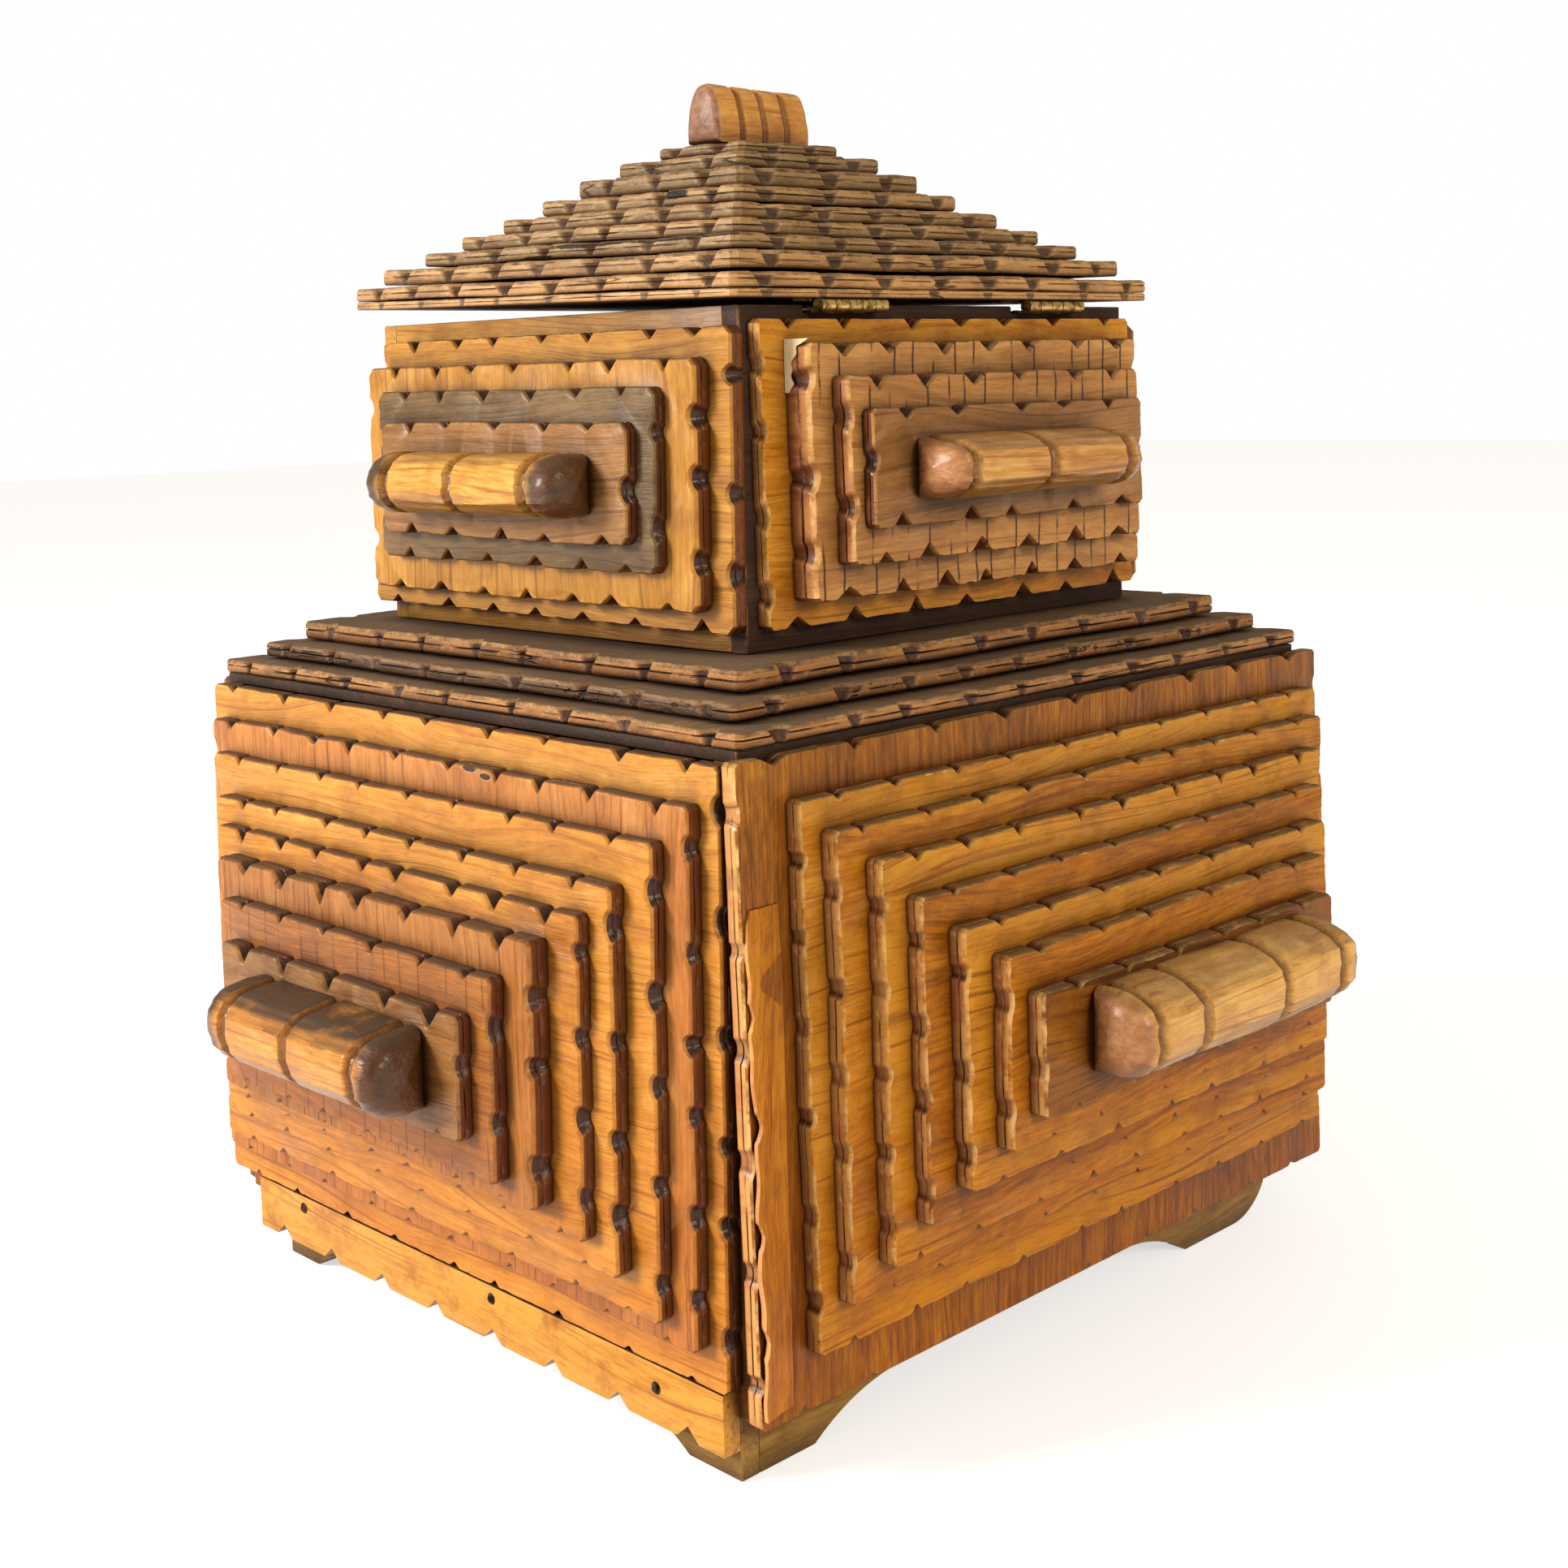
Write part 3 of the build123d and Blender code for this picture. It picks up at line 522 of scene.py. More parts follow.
def metalFinish(name, settings):
    look = readLook(settings)
    material, tree = newFinish(name)
    spot = wire(tree, "ShaderNodeTexCoord", output="Object")
    tarnish = noise(spot, 420, 4, 0.65)
    shade = shadeRamp(tarnish, [(0.36, look["dark"]), (0.56, look["bright"])])
    shade = blend(span(shadedCorners(tree, 0.002), 0.3, 0.9, 0.8, 0.0), shade, look["dark"])
    # painted shade standing in for a screw slot, which is not cut into the head
    if "slot" in look:
        head = wire(tree, "ShaderNodeAttribute", output="Vector", attribute_name="head")
        shade = blend(span(abs(split(head)[0]), 0.14, 0.2, 1.0, 0.0), shade, look["slot"])
    scratch = noise(stretch(spot, 3000, 300, 3000))
    relief = wire(tree, "ShaderNodeBump", {"Height": scratch, "Strength": 0.2, "Distance": 0.0001})
    gloss = span(tarnish, 0.35, 0.65, look["rough"] + 0.2, look["rough"])
    skin = wire(tree, "ShaderNodeBsdfPrincipled",
                {"Base Color": shade, "Metallic": 1.0, "Roughness": gloss, "Normal": relief})
    addNode(tree, "ShaderNodeOutputMaterial", {"Surface": skin})
    return material


brassLook = {"dark": (96, 66, 30), "bright": (222, 184, 112), "rough": 0.3}
agedBrass = metalFinish("agedBrass", brassLook)
screwBrass = metalFinish("screwBrass", {**brassLook, "slot": (20, 14, 10)})
nailSteel = metalFinish("nailSteel", {"dark": (28, 20, 16), "bright": (74, 58, 46), "rough": 0.46})
print("finishes made")


# notched boards

boardSockets = {
    "Thickness": 0.005, "Pitch": 0.0215, "Top width": 0.006, "Top depth": 0.003, "Side width": 0.007,
    "Side depth": 0.0022, "Low width": 0.005, "Low depth": 0.002, "Back share": 0.25, "Back width": 0.5,
    "Edge round": 0.0012, "Foot round": 0.0003, "Ply groove": 0.0004, "Waviness": 0.0004,
    "Point spacing": 0.00065, "Seed": 1, "Finish": None,
}
boardShape = {
    "levels": (0, 0.05, 0.16, 0.45, 0.485, 0.515, 0.55, 0.7, 0.8, 0.88, 0.95, 1.0), "shortest": 0.012,
    "knifed": [(0, 0), (0.12, 0.05), (0.92, 0.96), (1, 1)],
    "gouged": [(0, 0), (0.1, 0.16), (0.3, 0.56), (0.6, 0.88), (0.8, 0.97), (1, 1)],
    "rounding": [(0, 0), (0.7, 0), (0.8, 0.06), (0.88, 0.2), (0.95, 0.5), (1, 1)],
    "foot": [(0, 1), (0.05, 0.5), (0.16, 0), (1, 0)],
    "seam": [(0, 0), (0.45, 0), (0.485, 1), (0.515, 1), (0.55, 0), (1, 0)],
}


def makeBoardTree():
    tree, given, ids = newTree("notchedBoard", boardSockets)
    thick = given["Thickness"]

    def kept(label, kind="FLOAT"):
        return wire(tree, "GeometryNodeInputNamedAttribute", {"Name": label}, data_type=kind)

    sides = wire(tree, "GeometryNodeMeshToCurve", {"Mesh": given["Geometry"]})
    sides = store(sides, "sideLength", wire(tree, "GeometryNodeSplineLength"), domain="CURVE")
    sides = store(sides, "sideNumber", wire(tree, "GeometryNodeInputIndex"), domain="CURVE")
    sides = wire(tree, "GeometryNodeResampleCurve", {"Curve": sides, "Length": given["Point spacing"]}, mode="LENGTH")

    # one notch in the middle of each cell, a little off in place, width and depth
    count = calc("MAXIMUM", calc("ROUND", kept("sideLength") / given["Pitch"]), 1.0)
    cell = kept("sideLength") / count
    turns = wire(tree, "GeometryNodeSplineParameter", output="Length") / cell
    which = calc("FLOOR", calc("MINIMUM", turns, count - 0.001))
    key = which + kept("sideNumber") * 61.0

    def chance(low, high, shift):
        return wire(tree, "FunctionNodeRandomValue", {2: low, 3: high, "ID": key, "Seed": given["Seed"] + shift}, 1,
                    data_type="FLOAT")

    # the way in from each side tells the top edge, the bottom edge and the upright edges apart
    spot, tangent = wire(tree, "GeometryNodeInputPosition"), wire(tree, "GeometryNodeInputTangent")
    inward = wire(tree, "ShaderNodeVectorMath", {0: (0, 0, 1), 1: tangent}, operation="CROSS_PRODUCT")
    inward = scaled(inward, 1.0 - calc("GREATER_THAN", dot(inward, spot), 0.0) * 2.0)
    upward = split(inward)[1]
    isTop, isLow = calc("LESS_THAN", upward, -0.8), calc("GREATER_THAN", upward, 0.8)
    upright = 1.0 - isTop - isLow

    def bySide(measure):
        return isTop * given["Top " + measure] + isLow * given["Low " + measure] + upright * given["Side " + measure]

    away = abs((turns - which - 0.5 + chance(-0.14, 0.14, 0.0)) * cell)
    deep = bySide("depth") * chance(0.65, 1.15, 200.0)
    sway = noise(spot, 35, 1, seed=given["Seed"])
    marks = {
        "away": away, "half": bySide("width") * 0.5 * chance(0.78, 1.22, 100.0),
        "deep": deep * calc("GREATER_THAN", kept("sideLength"), boardShape["shortest"]), "upright": upright,
        "sway": (sway - 0.5) * (given["Waviness"] * 3.0),
    }
    for label, value in marks.items():
        sides = store(sides, label, value)
    sides = store(sides, "inward", inward, "FLOAT_VECTOR")

    # the outline goes up through the board's levels, then each level moves in
    body = mergeNear(wire(tree, "GeometryNodeCurveToMesh", {"Curve": sides}), 0.00002)
    top = True
    for low, high in zip(boardShape["levels"], boardShape["levels"][1:]):
        rise = joined(z=thick * (high - low))
        lift = addNode(tree, "GeometryNodeExtrudeMesh",
                       {"Mesh": body, "Selection": top, "Offset": rise, "Offset Scale": 1.0}, mode="EDGES")
        body, top = Flow(tree, lift.outputs["Mesh"]), Flow(tree, lift.outputs["Top"])
    here = wire(tree, "GeometryNodeInputPosition")
    level = split(here)[2] / thick

    def upTo(label):
        return given[label] + (1.0 - given[label]) * level

    near = calc("SUBTRACT", 1.0, kept("away") / (kept("half") * upTo("Back width")), clamp=True)
    knifed, gouged = easeCurve(near, boardShape["knifed"]), easeCurve(near, boardShape["gouged"])
    body = store(body, "cut", (knifed + (gouged - knifed) * kept("upright")) * kept("deep"))
    chips = span(noise(here, 260, seed=given["Seed"]), 0.45, 0.75, 0.6, 1.7)
    gape = span(noise(here, 60), 0.42, 0.7, 0.0, 2.0)
    move = kept("cut") * upTo("Back share") + kept("sway")
    move = move + easeCurve(level, boardShape["rounding"]) * (given["Edge round"] * chips)
    move = move + easeCurve(level, boardShape["foot"]) * given["Foot round"]
    move = move + easeCurve(level, boardShape["seam"]) * (given["Ply groove"] * gape)
    offset = scaled(kept("inward", "FLOAT_VECTOR"), move)
    body = wire(tree, "GeometryNodeSetPosition", {"Geometry": body, "Offset": offset})

    def filled(selection):
        line = wire(tree, "GeometryNodeMeshToCurve", {"Mesh": body, "Selection": selection})
        return wire(tree, "GeometryNodeFillCurve", {"Curve": line}, mode="TRIANGLES")

    # front and back are filled flat
    front = wire(tree, "GeometryNodeSetPosition", {"Geometry": filled(top), "Offset": joined(z=thick)})
    atBack = calc("LESS_THAN", split(wire(tree, "GeometryNodeInputPosition"))[2], 0.000001)
    back = wire(tree, "GeometryNodeFlipFaces", {"Mesh": filled(atBack)})
    whole = addNode(tree, "GeometryNodeJoinGeometry")
    for piece in (back, front, body):
        tree.links.new(piece.socket, whole.inputs[0])
    endTree(mergeNear(Flow(tree, whole.outputs[0]), 0.00003), given["Finish"])
    return tree, ids


def solidsOf(node):
    # the separate solids of a frame node, in order of place
    shape = bmesh.new()
    shape.from_mesh(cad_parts[node].data)
    bmesh.ops.remove_doubles(shape, verts=shape.verts, dist=0.00001)
    bmesh.ops.recalc_face_normals(shape, faces=shape.faces)
    shape.verts.ensure_lookup_table()
    solids, seen = [], set()
    for start in shape.verts:
        if start in seen:
            continue
        group, edge = {start}, [start]
        while edge:
            for link in edge.pop().link_edges:
                fresh = set(link.verts) - group
                group |= fresh
                edge += fresh
        seen |= group
        verts = sorted(group, key=lambda vert: vert.index)
        order = {vert: number for number, vert in enumerate(verts)}
        faces = sorted({face for vert in verts for face in vert.link_faces}, key=lambda face: face.index)
        solids.append({
            "points": [vert.co.copy() for vert in verts],
            "faces": [tuple(order[vert] for vert in face.verts) for face in faces],
            "normals": [(face.normal.copy(), face.calc_area()) for face in faces],
        })
    shape.free()
    return sorted(solids, key=lambda solid: tuple(
        round(sum(point[axis] for point in solid["points"]) / len(solid["points"]), 4) for axis in range(3)))


def frameAt(x, y, z, origin):
    # a matrix from three axes and an origin
    return Matrix([(x[row], y[row], z[row], origin[row]) for row in range(3)] + [(0, 0, 0, 1)])


def boardOf(solid):
    # a board's own axes, outline corners, back and thickness
    def rounded(normal):
        return tuple(round(value, 2) for value in normal)

    totals = {}
    for normal, area in solid["normals"]:
        totals[rounded(normal)] = totals.get(rounded(normal), 0) + area
    middle = sum(solid["points"], Vector()) / len(solid["points"])
    biggest = max(totals, key=totals.get)
    out = max((normal for normal, area in solid["normals"] if rounded(normal) == biggest),
              key=lambda normal: normal.length)
    if abs(out.z) > 0.5:
        out = out if out.z > 0 else -out
        up, side = Vector((0, 1, 0)), "plate"
    else:
        out = out if out.dot(middle) > 0 else -out
        up = Vector((0, 0, 1))
        side = {(0, -1): "front", (0, 1): "back", (1, 0): "right", (-1, 0): "left"}[(round(out.x), round(out.y))]
    across = up.cross(out).normalized()
    local = [(point.dot(across), point.dot(up), point.dot(out)) for point in solid["points"]]
    low, high = min(spot[1] for spot in local), max(spot[1] for spot in local)
    foot = [spot[0] for spot in local if spot[1] < low + 0.0001]
    head = [spot[0] for spot in local if spot[1] > high - 0.0001]
    back, front = min(spot[2] for spot in local), max(spot[2] for spot in local)
    shiftX, shiftY = (min(head) + max(head)) / 2, (low + high) / 2
    corners = [(min(foot), low), (max(foot), low), (max(head), high), (min(head), high)]
    return {
        "side": side, "thick": front - back, "corners": [(x - shiftX, y - shiftY) for x, y in corners],
        "matrix": frameAt(across, up, out, (0, 0, 0)) @ Matrix.Translation((shiftX, shiftY, back)),
    }


def outlineMesh(corners, chamfer):
    # one loose edge for each side and for each clipped corner
    ring = []
    for number, corner in enumerate(corners):
        here = Vector(corner)
        before, after = Vector(corners[number - 1]), Vector(corners[(number + 1) % len(corners)])
        ring += [here + (before - here).normalized() * chamfer, here + (after - here).normalized() * chamfer]
    spots = [(spot.x, spot.y, 0) for pair in zip(ring, ring[1:] + ring[:1]) for spot in pair]
    mesh = bpy.data.meshes.new("outline")
    mesh.from_pydata(spots, [(number, number + 1) for number in range(0, len(spots), 2)], [])
    return mesh


boardTool = makeBoardTree()
dice = random.Random(41)


def someSeed():
    return dice.randrange(1, 9000)


def somewhere():
    # a place in the wood for a board's grain
    return np.array([dice.uniform(-4, 4) for axis in range(3)])


def toneOf(spots, reach=0.5):
    return np.full(len(spots), dice.uniform(-reach, reach))


def moved(spots, matrix):
    return spots @ np.array(matrix)[:3, :3].T + np.array(matrix)[:3, 3]


def boardPart(board, cut, number, grainUp=False, warp=0.0):
    # one finished board: its shape in place, and where its grain runs
    thick = board["thick"]
    values = {"Thickness": thick, "Seed": someSeed()}
    values.update({label: value for label, value in cut.items() if label in boardSockets})
    mesh = bakeTree(boardTool, values, outlineMesh(board["corners"], cut["chamfer"]))
    spots, faces, found = readMesh(mesh, ["cut"])
    heights = np.array([[spots[corner][2] for corner in face[:3]] for face in faces])
    capped = heights.max(axis=1) - heights.min(axis=1) < thick * 0.001
    wall = ~capped & (heights.mean(axis=1) < thick * 0.84)
    lip = ~capped & (heights.min(axis=1) > thick * 0.78)
    start = somewhere()
    reach = np.abs(spots).max(axis=0)
    place = np.stack([spots[:, 0] / reach[0], spots[:, 1] / reach[1], spots[:, 2] / thick], axis=1)
    if warp:
        bow = np.sin(spots[:, 0] * dice.uniform(55, 75) + dice.uniform(0, 6))
        bow += np.sin(spots[:, 1] * dice.uniform(60, 80))
        spots[:, 2] += warp * (bow * 0.5 - 1) * (spots[:, 2] > thick * 0.6)
        spots[:, 2] += warp * (bow * 0.5 + 1) * (spots[:, 2] < thick * 0.3)
    return {
        "spots": moved(spots, board["matrix"]), "faces": faces, "material": number,
        "points": {"grain": spots[:, (1, 0, 2) if grainUp else (0, 1, 2)] + start, "cross": spots + start,
                   "place": place, "notch": np.clip(found["cut"] / cut["Top depth"], 0, 1), "tone": toneOf(spots)},
        "sides": {"wall": wall.astype(float), "lip": lip.astype(float)},
    }


def sheetPart(spotAt, rows, columns, thick, out):
    # a thin closed sheet: spotAt(row share, column share) gives its outer side, out its thickness direction
    outer = [spotAt(row / (rows - 1), column / (columns - 1)) for row in range(rows) for column in range(columns)]
    inner = [tuple(np.array(spot) - np.array(out) * thick) for spot in outer]
    shift, faces = rows * columns, []
    for row in range(rows - 1):
        for column in range(columns - 1):
            a = row * columns + column
            faces += [(a, a + 1, a + columns + 1, a + columns),
                      (shift + a, shift + a + columns, shift + a + columns + 1, shift + a + 1)]
    flat = len(faces)
    rim = list(range(columns)) + [row * columns + columns - 1 for row in range(1, rows)]
    rim += [(rows - 1) * columns + column for column in range(columns - 2, -1, -1)]
    rim += [row * columns for row in range(rows - 2, 0, -1)]
    faces += [(a, b, shift + b, shift + a) for a, b in zip(rim, rim[1:] + rim[:1])]
    spots = np.array(outer + inner)
    return {"spots": spots, "faces": faces, "material": 0,
            "points": {"grain": spots[:, (2, 1, 0)] + somewhere(), "place": spots * 0, "tone": toneOf(spots)},
            "sides": {"wall": (np.arange(len(faces)) >= flat).astype(float)}}


# the stacks: for each side its finishes, the layers whose grain stands upright, and its top notches,
# width and depth in millimetres
frontNotches = [(5.4, 2.6), (6.2, 3.3), (4.4, 2.2), (4.8, 2.5), (6.6, 4.0), (7.6, 4.8), (5.0, 2.4), (8.0, 5.0)]
sideNotches = [(7.4, 2.6), (4.6, 1.8), (4.6, 1.8), (5.2, 3.0), (4.2, 1.6), (4.4, 1.8), (4.6, 1.9), (4.6, 2.0)]
lowerStack = {
    "cut": {"Pitch": 0.0215, "Side width": 0.0076, "Side depth": 0.0026, "Low width": 0.0042, "Low depth": 0.0016,
            "Back share": 0.35, "Back width": 0.5, "Edge round": 0.0006, "Foot round": 0.0003, "Ply groove": 0.0003,
            "Waviness": 0.0005, "chamfer": 0.0012},
    "rightCut": {"Side width": 0.0064, "Side depth": 0.0014, "Low width": 0.0036, "Low depth": 0.0018,
                 "Back share": 0.75, "Back width": 0.75, "Ply groove": 0.0006, "Edge round": 0.0005, "chamfer": 0.001},
    "first": {"Pitch": 0.026, "Waviness": 0.0002}, "firstRound": 0.4, "trim": {},
    "front": ([honeyWood, pinkWood, honeyWood, honeyWood, honeyWood, rustWood, rustWood, umberWood], (1, 5),
              frontNotches),
    "back": ([goldenWood, honeyWood, pinkWood, goldenWood, rustWood, honeyWood, pinkWood, umberWood], (2, 6),
             frontNotches),
    "right": ([crackedBrown] + [brownWood] * 6 + [deepBrown], (0,), sideNotches),
    "left": ([goldenWood, rustWood, goldenWood, brownWood, goldenWood, rustWood, goldenWood, umberWood], (0,),
             sideNotches),
}


def buildStack(node, layer, stack, body, slot):
    parts, materials = [], []
    for solid in solidsOf(node):
        board = boardOf(solid)
        finishes, upright, notches = stack[board["side"]]
        if finishes[layer] not in materials:
            materials.append(finishes[layer])
        cut = {**stack["cut"], **stack.get(board["side"] + "Cut", {})}
        cut["Top width"], cut["Top depth"] = notches[layer][0] / 1000, notches[layer][1] / 1000
        if layer == 0:
            cut.update(stack["first"])
            cut["Edge round"] *= stack["firstRound"]
        x, y = board["corners"][3]
        board["corners"][3] = (x + stack["trim"].get((board["side"], layer), 0), y)
        parts.append(boardPart(board, cut, materials.index(finishes[layer]), layer in upright))
    handOver(joinParts(node + "_wood", parts, materials), body, slot, node)


for layer in range(8):
    buildStack(f"lower_layer_{layer + 1}", layer, lowerStack, "case", "brown_wood")
    buildStack(f"drawer_layer_{layer + 1}", layer, lowerStack, "drawer", "golden_wood")
print("lower stacks carved")

# the right face's first board has come apart along its near edge: its outer ply lifts towards the floor
splitPlies = {
    "thick": 0.0012, "lift": (0.0022, 0.0009), "inset": (0.0, 0.0009), "low": 0.0205, "high": 0.142, "near": -0.1206,
    "far": -0.1098, "lean": 0.0006, "pitch": 0.026, "notchHalf": 0.0036, "notchDeep": 0.0015, "rows": 150, "columns": 9,
}
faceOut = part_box("lower_layer_1")[1].x


def plySpot(lift, inset):
    plan = splitPlies

    def spotAt(up, over):
        z = plan["low"] + (plan["high"] - plan["low"]) * up
        drop = 1 - up
        wave = 0.0002 * sin(z * 130 + lift * 4000) + 0.00015 * sin(z * 410 + 1)
        cell = (z / plan["pitch"]) % 1.0
        scoop = max(0.0, 1.0 - abs(cell - 0.5) * plan["pitch"] / plan["notchHalf"]) ** 0.6 * plan["notchDeep"]
        near = plan["near"] + inset + plan["lean"] * drop + scoop + wave
        peel = lift * drop ** 0.8 * (1 - over) ** 1.3 * min(1.0, drop * 12)
        x = faceOut + plan["thick"] * min(1.0, 0.2 + drop * 6) + peel + wave * (1 - over)
        return (x, near + (plan["far"] - near) * over, z)

    return spotAt


plies = [sheetPart(plySpot(lift, inset), splitPlies["rows"], splitPlies["columns"], splitPlies["thick"], (1, 0, 0))
         for lift, inset in zip(splitPlies["lift"], splitPlies["inset"])]
handOver(joinParts("split_plies", plies, [brownWood]), "case", "brown_wood")

frontNotches = [(7.0, 3.4), (6.8, 3.2), (6.6, 3.2), (6.2, 3.0)]
sideNotches = [(7.4, 2.8), (8.6, 3.2), (8.6, 3.4), (8.0, 3.0)]
upperStack = {
    "cut": {"Pitch": 0.0205, "Side width": 0.0072, "Side depth": 0.0028, "Low width": 0.0076, "Low depth": 0.003,
            "Back share": 0.35, "Back width": 0.5, "Edge round": 0.0008, "Foot round": 0.0003, "Ply groove": 0.0004,
            "Waviness": 0.0005, "chamfer": 0.0022},
    "rightCut": {"Side width": 0.008, "Side depth": 0.002, "Low width": 0.0084, "Low depth": 0.0038,
                 "Back share": 0.5, "Ply groove": 0.0007, "Edge round": 0.0005, "chamfer": 0.0012},
    "first": {"Pitch": 0.021, "Waviness": 0.0002}, "firstRound": 0.4, "trim": {("front", 0): 0.0115},
    "front": ([goldenWood, goldenWood, oliveWood, umberWood], (1,), frontNotches),
    "back": ([goldenWood, honeyWood, umberWood, goldenWood], (1,), frontNotches),
    "right": ([brownWood, redBrownWood, redBrownWood, umberWood], (), sideNotches),
    "left": ([goldenWood, redBrownWood, rustWood, goldenWood], (), sideNotches),
}
for layer, slot in enumerate(("golden_wood", "red_brown_wood", "red_brown_wood", "brown_wood")):
    buildStack(f"upper_layer_{layer + 1}", layer, upperStack, "case", slot)

# bare wood where the near top corner of the hinge side's second board has lost its skin
bareChip = {"top": 0.2731, "tall": 0.0135, "thick": 0.0004, "proud": 0.00025, "rows": 60, "columns": 5}
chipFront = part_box("upper_layer_2")[1].x
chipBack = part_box("upper_layer_1")[1].x
chipWall = min(point.y for solid in solidsOf("upper_layer_2") for point in solid["points"]
               if point.x > chipFront - 0.0001)


def chipSpot(up, over):
    # up runs down the wall, over runs from the back towards the front arris
    ragged = 0.52 + 0.07 * sin(up * 9) + 0.04 * sin(up * 23 + 1) - 0.34 * up + 0.46 * max(0.0, 1 - up * 7)
    x = chipBack + 0.0002 + (chipFront - chipBack - 0.0004) * max(0.05, ragged) * over
    return (x, chipWall - bareChip["proud"], bareChip["top"] - bareChip["tall"] * up)


chip = sheetPart(chipSpot, bareChip["rows"], bareChip["columns"], bareChip["thick"], (0, -1, 0))
handOver(joinParts("bare_chip", [chip], [bareWood]), "case", "golden_wood")
print("upper stacks carved")

plates = {
    "shoulder": {"Pitch": 0.024, "Top width": 0.0074, "Top depth": 0.0034, "Back share": 0.3, "Back width": 0.35,
                 "Edge round": 0.0007, "Foot round": 0.0007, "Ply groove": 0.0009, "Waviness": 0.0007,
                 "chamfer": 0.0014, "warp": 0.0004},
    "lid": {"Pitch": 0.0215, "Top width": 0.0092, "Top depth": 0.004, "Back share": 0.3, "Back width": 0.35,
            "Edge round": 0.0015, "Foot round": 0.0006, "Ply groove": 0.0004, "Waviness": 0.001,
            "chamfer": 0.0016, "warp": 0.0004},
    "lidBase": {"Pitch": 0.021, "Top width": 0.005, "Top depth": 0.0005, "Back share": 0.5, "Back width": 0.6,
                "Edge round": 0.0006, "Foot round": 0.0003, "Ply groove": 0.0003, "Waviness": 0.0007,
                "chamfer": 0.0015, "warp": 0.0},
    "lidFinish": [lidPaleWood] * 2 + [lidWood] * 4 + [lidDarkWood] * 3,
    "shoulderFinish": [weatheredWood, greyWood, weatheredWood],
}


def buildPlate(node, cut, finish, body, grainUp=False):
    for side in ("Side ", "Low "):
        cut = {**cut, side + "width": cut["Top width"], side + "depth": cut["Top depth"]}
    parts = [boardPart(boardOf(solid), cut, 0, grainUp, cut["warp"]) for solid in solidsOf(node)]
    handOver(joinParts(node + "_wood", parts, [finish]), body, "weathered_wood", node)


for layer, finish in enumerate(plates["shoulderFinish"]):
    buildPlate(f"shoulder_step_{layer + 1}", plates["shoulder"], finish, "case", layer % 2 == 0)
buildPlate("lid_base", plates["lidBase"], lidPaleWood, "lid")
for layer, finish in enumerate(plates["lidFinish"]):
    buildPlate(f"lid_step_{layer + 1}", plates["lid"], finish, "lid", layer % 2 == 0)
print("shoulder and lid stepped")


# plain boards: walls, plinth, drawer box; a second finish is for the board on the right, the painted shade finish,
# which the case top also takes

plainBoards = {
    "rounding": 0.0005, "apronRounding": 0.0002,
    "plinth_front": [plinthWood], "plinth_back": [plinthWood], "plinth_right": [plinthWood],
    "plinth_left": [plinthWood], "case_floor": [caseWood], "case_sides": [caseWood], "case_back": [caseWood],
    "case_top": [paintedShadeWood], "upper_floor": [caseWood], "upper_end_walls": [goldenWood],
    "upper_side_walls": [goldenWood, paintedShadeWood], "apron": [apronWood], "drawer_inner_front": [drawerWood],
    "drawer_sides": [drawerWood], "drawer_back": [drawerWood], "drawer_bottom": [drawerWood],
}


def buildPlain(node, body, slot, finishes, rounding):
    parts = []
    for solid in solidsOf(node):
        points = np.array([tuple(point) for point in solid["points"]])
        size = points.max(axis=0) - points.min(axis=0)
        middle = (points.max(axis=0) + points.min(axis=0)) / 2
        shape = bmesh.new()
        verts = [shape.verts.new(point) for point in solid["points"]]
        for face in solid["faces"]:
            shape.faces.new([verts[corner] for corner in face])
        bmesh.ops.dissolve_limit(shape, angle_limit=radians(1), verts=shape.verts, edges=shape.edges)
        sharp = [edge for edge in shape.edges if len(edge.link_faces) == 2 and edge.calc_face_angle() > radians(30)]
        bmesh.ops.bevel(shape, geom=sharp, offset=rounding, segments=2, profile=0.6, affect="EDGES",
                        clamp_overlap=True)
        bmesh.ops.triangulate(shape, faces=[face for face in shape.faces if len(face.verts) > 4])
        shape.verts.index_update()
        spots = np.array([tuple(vert.co) for vert in shape.verts])
        faces = [tuple(vert.index for vert in face.verts) for face in shape.faces]
        lip = [face.calc_area() < 0.00004 and min(edge.calc_length() for edge in face.edges) < rounding
               for face in shape.faces]
        shape.free()
        parts.append({
            "spots": spots, "faces": faces, "material": int(len(finishes) > 1 and middle[0] > 0),
            "points": {"grain": spots[:, np.argsort(-size)] + somewhere(), "place": (spots - middle) / (size / 2),
                       "tone": toneOf(spots)},
            "sides": {"lip": np.array(lip, dtype=float)},
        })
    handOver(joinParts(node + "_wood", parts, finishes), body, slot, node)


for node, finishes in list(plainBoards.items())[2:]:
    if node == "apron":
        buildPlain(node, "case", "golden_wood", finishes, plainBoards["apronRounding"])
    elif node.startswith("drawer"):
        buildPlain(node, "drawer", "drawer_wood", finishes, plainBoards["rounding"])
    else:
        buildPlain(node, "case", "carcase_wood", finishes, plainBoards["rounding"])
print("case, plinth and drawer box cut")


# whittled bars

barSockets = {
    "Width": 0.022, "Reach": 0.018, "Start": -0.04, "End": 0.04, "Groove 1": -0.03, "Groove 2": 0.0,
    "Groove 3": 0.03, "Groove 4": 9.0, "Groove width": 0.0044, "Groove depth": 0.0017, "End round": 0.006,
    "End share": 0.5, "Squareness": 0.72, "Facets": 0.9, "End stain": 0.006, "Seed": 1, "Finish": None,
}
barShape = {
    "around": 56, "rows": 120, "capRows": 6, "front": 0.8, "groove": [(0, 0), (0.12, 0.1), (0.55, 0.92), (1, 1)],
    "knifeDepth": 0.0022, "knifeOffset": 0.72, "facet": pi / 9, "dome": 0.0009, "ragged": 700.0,
}


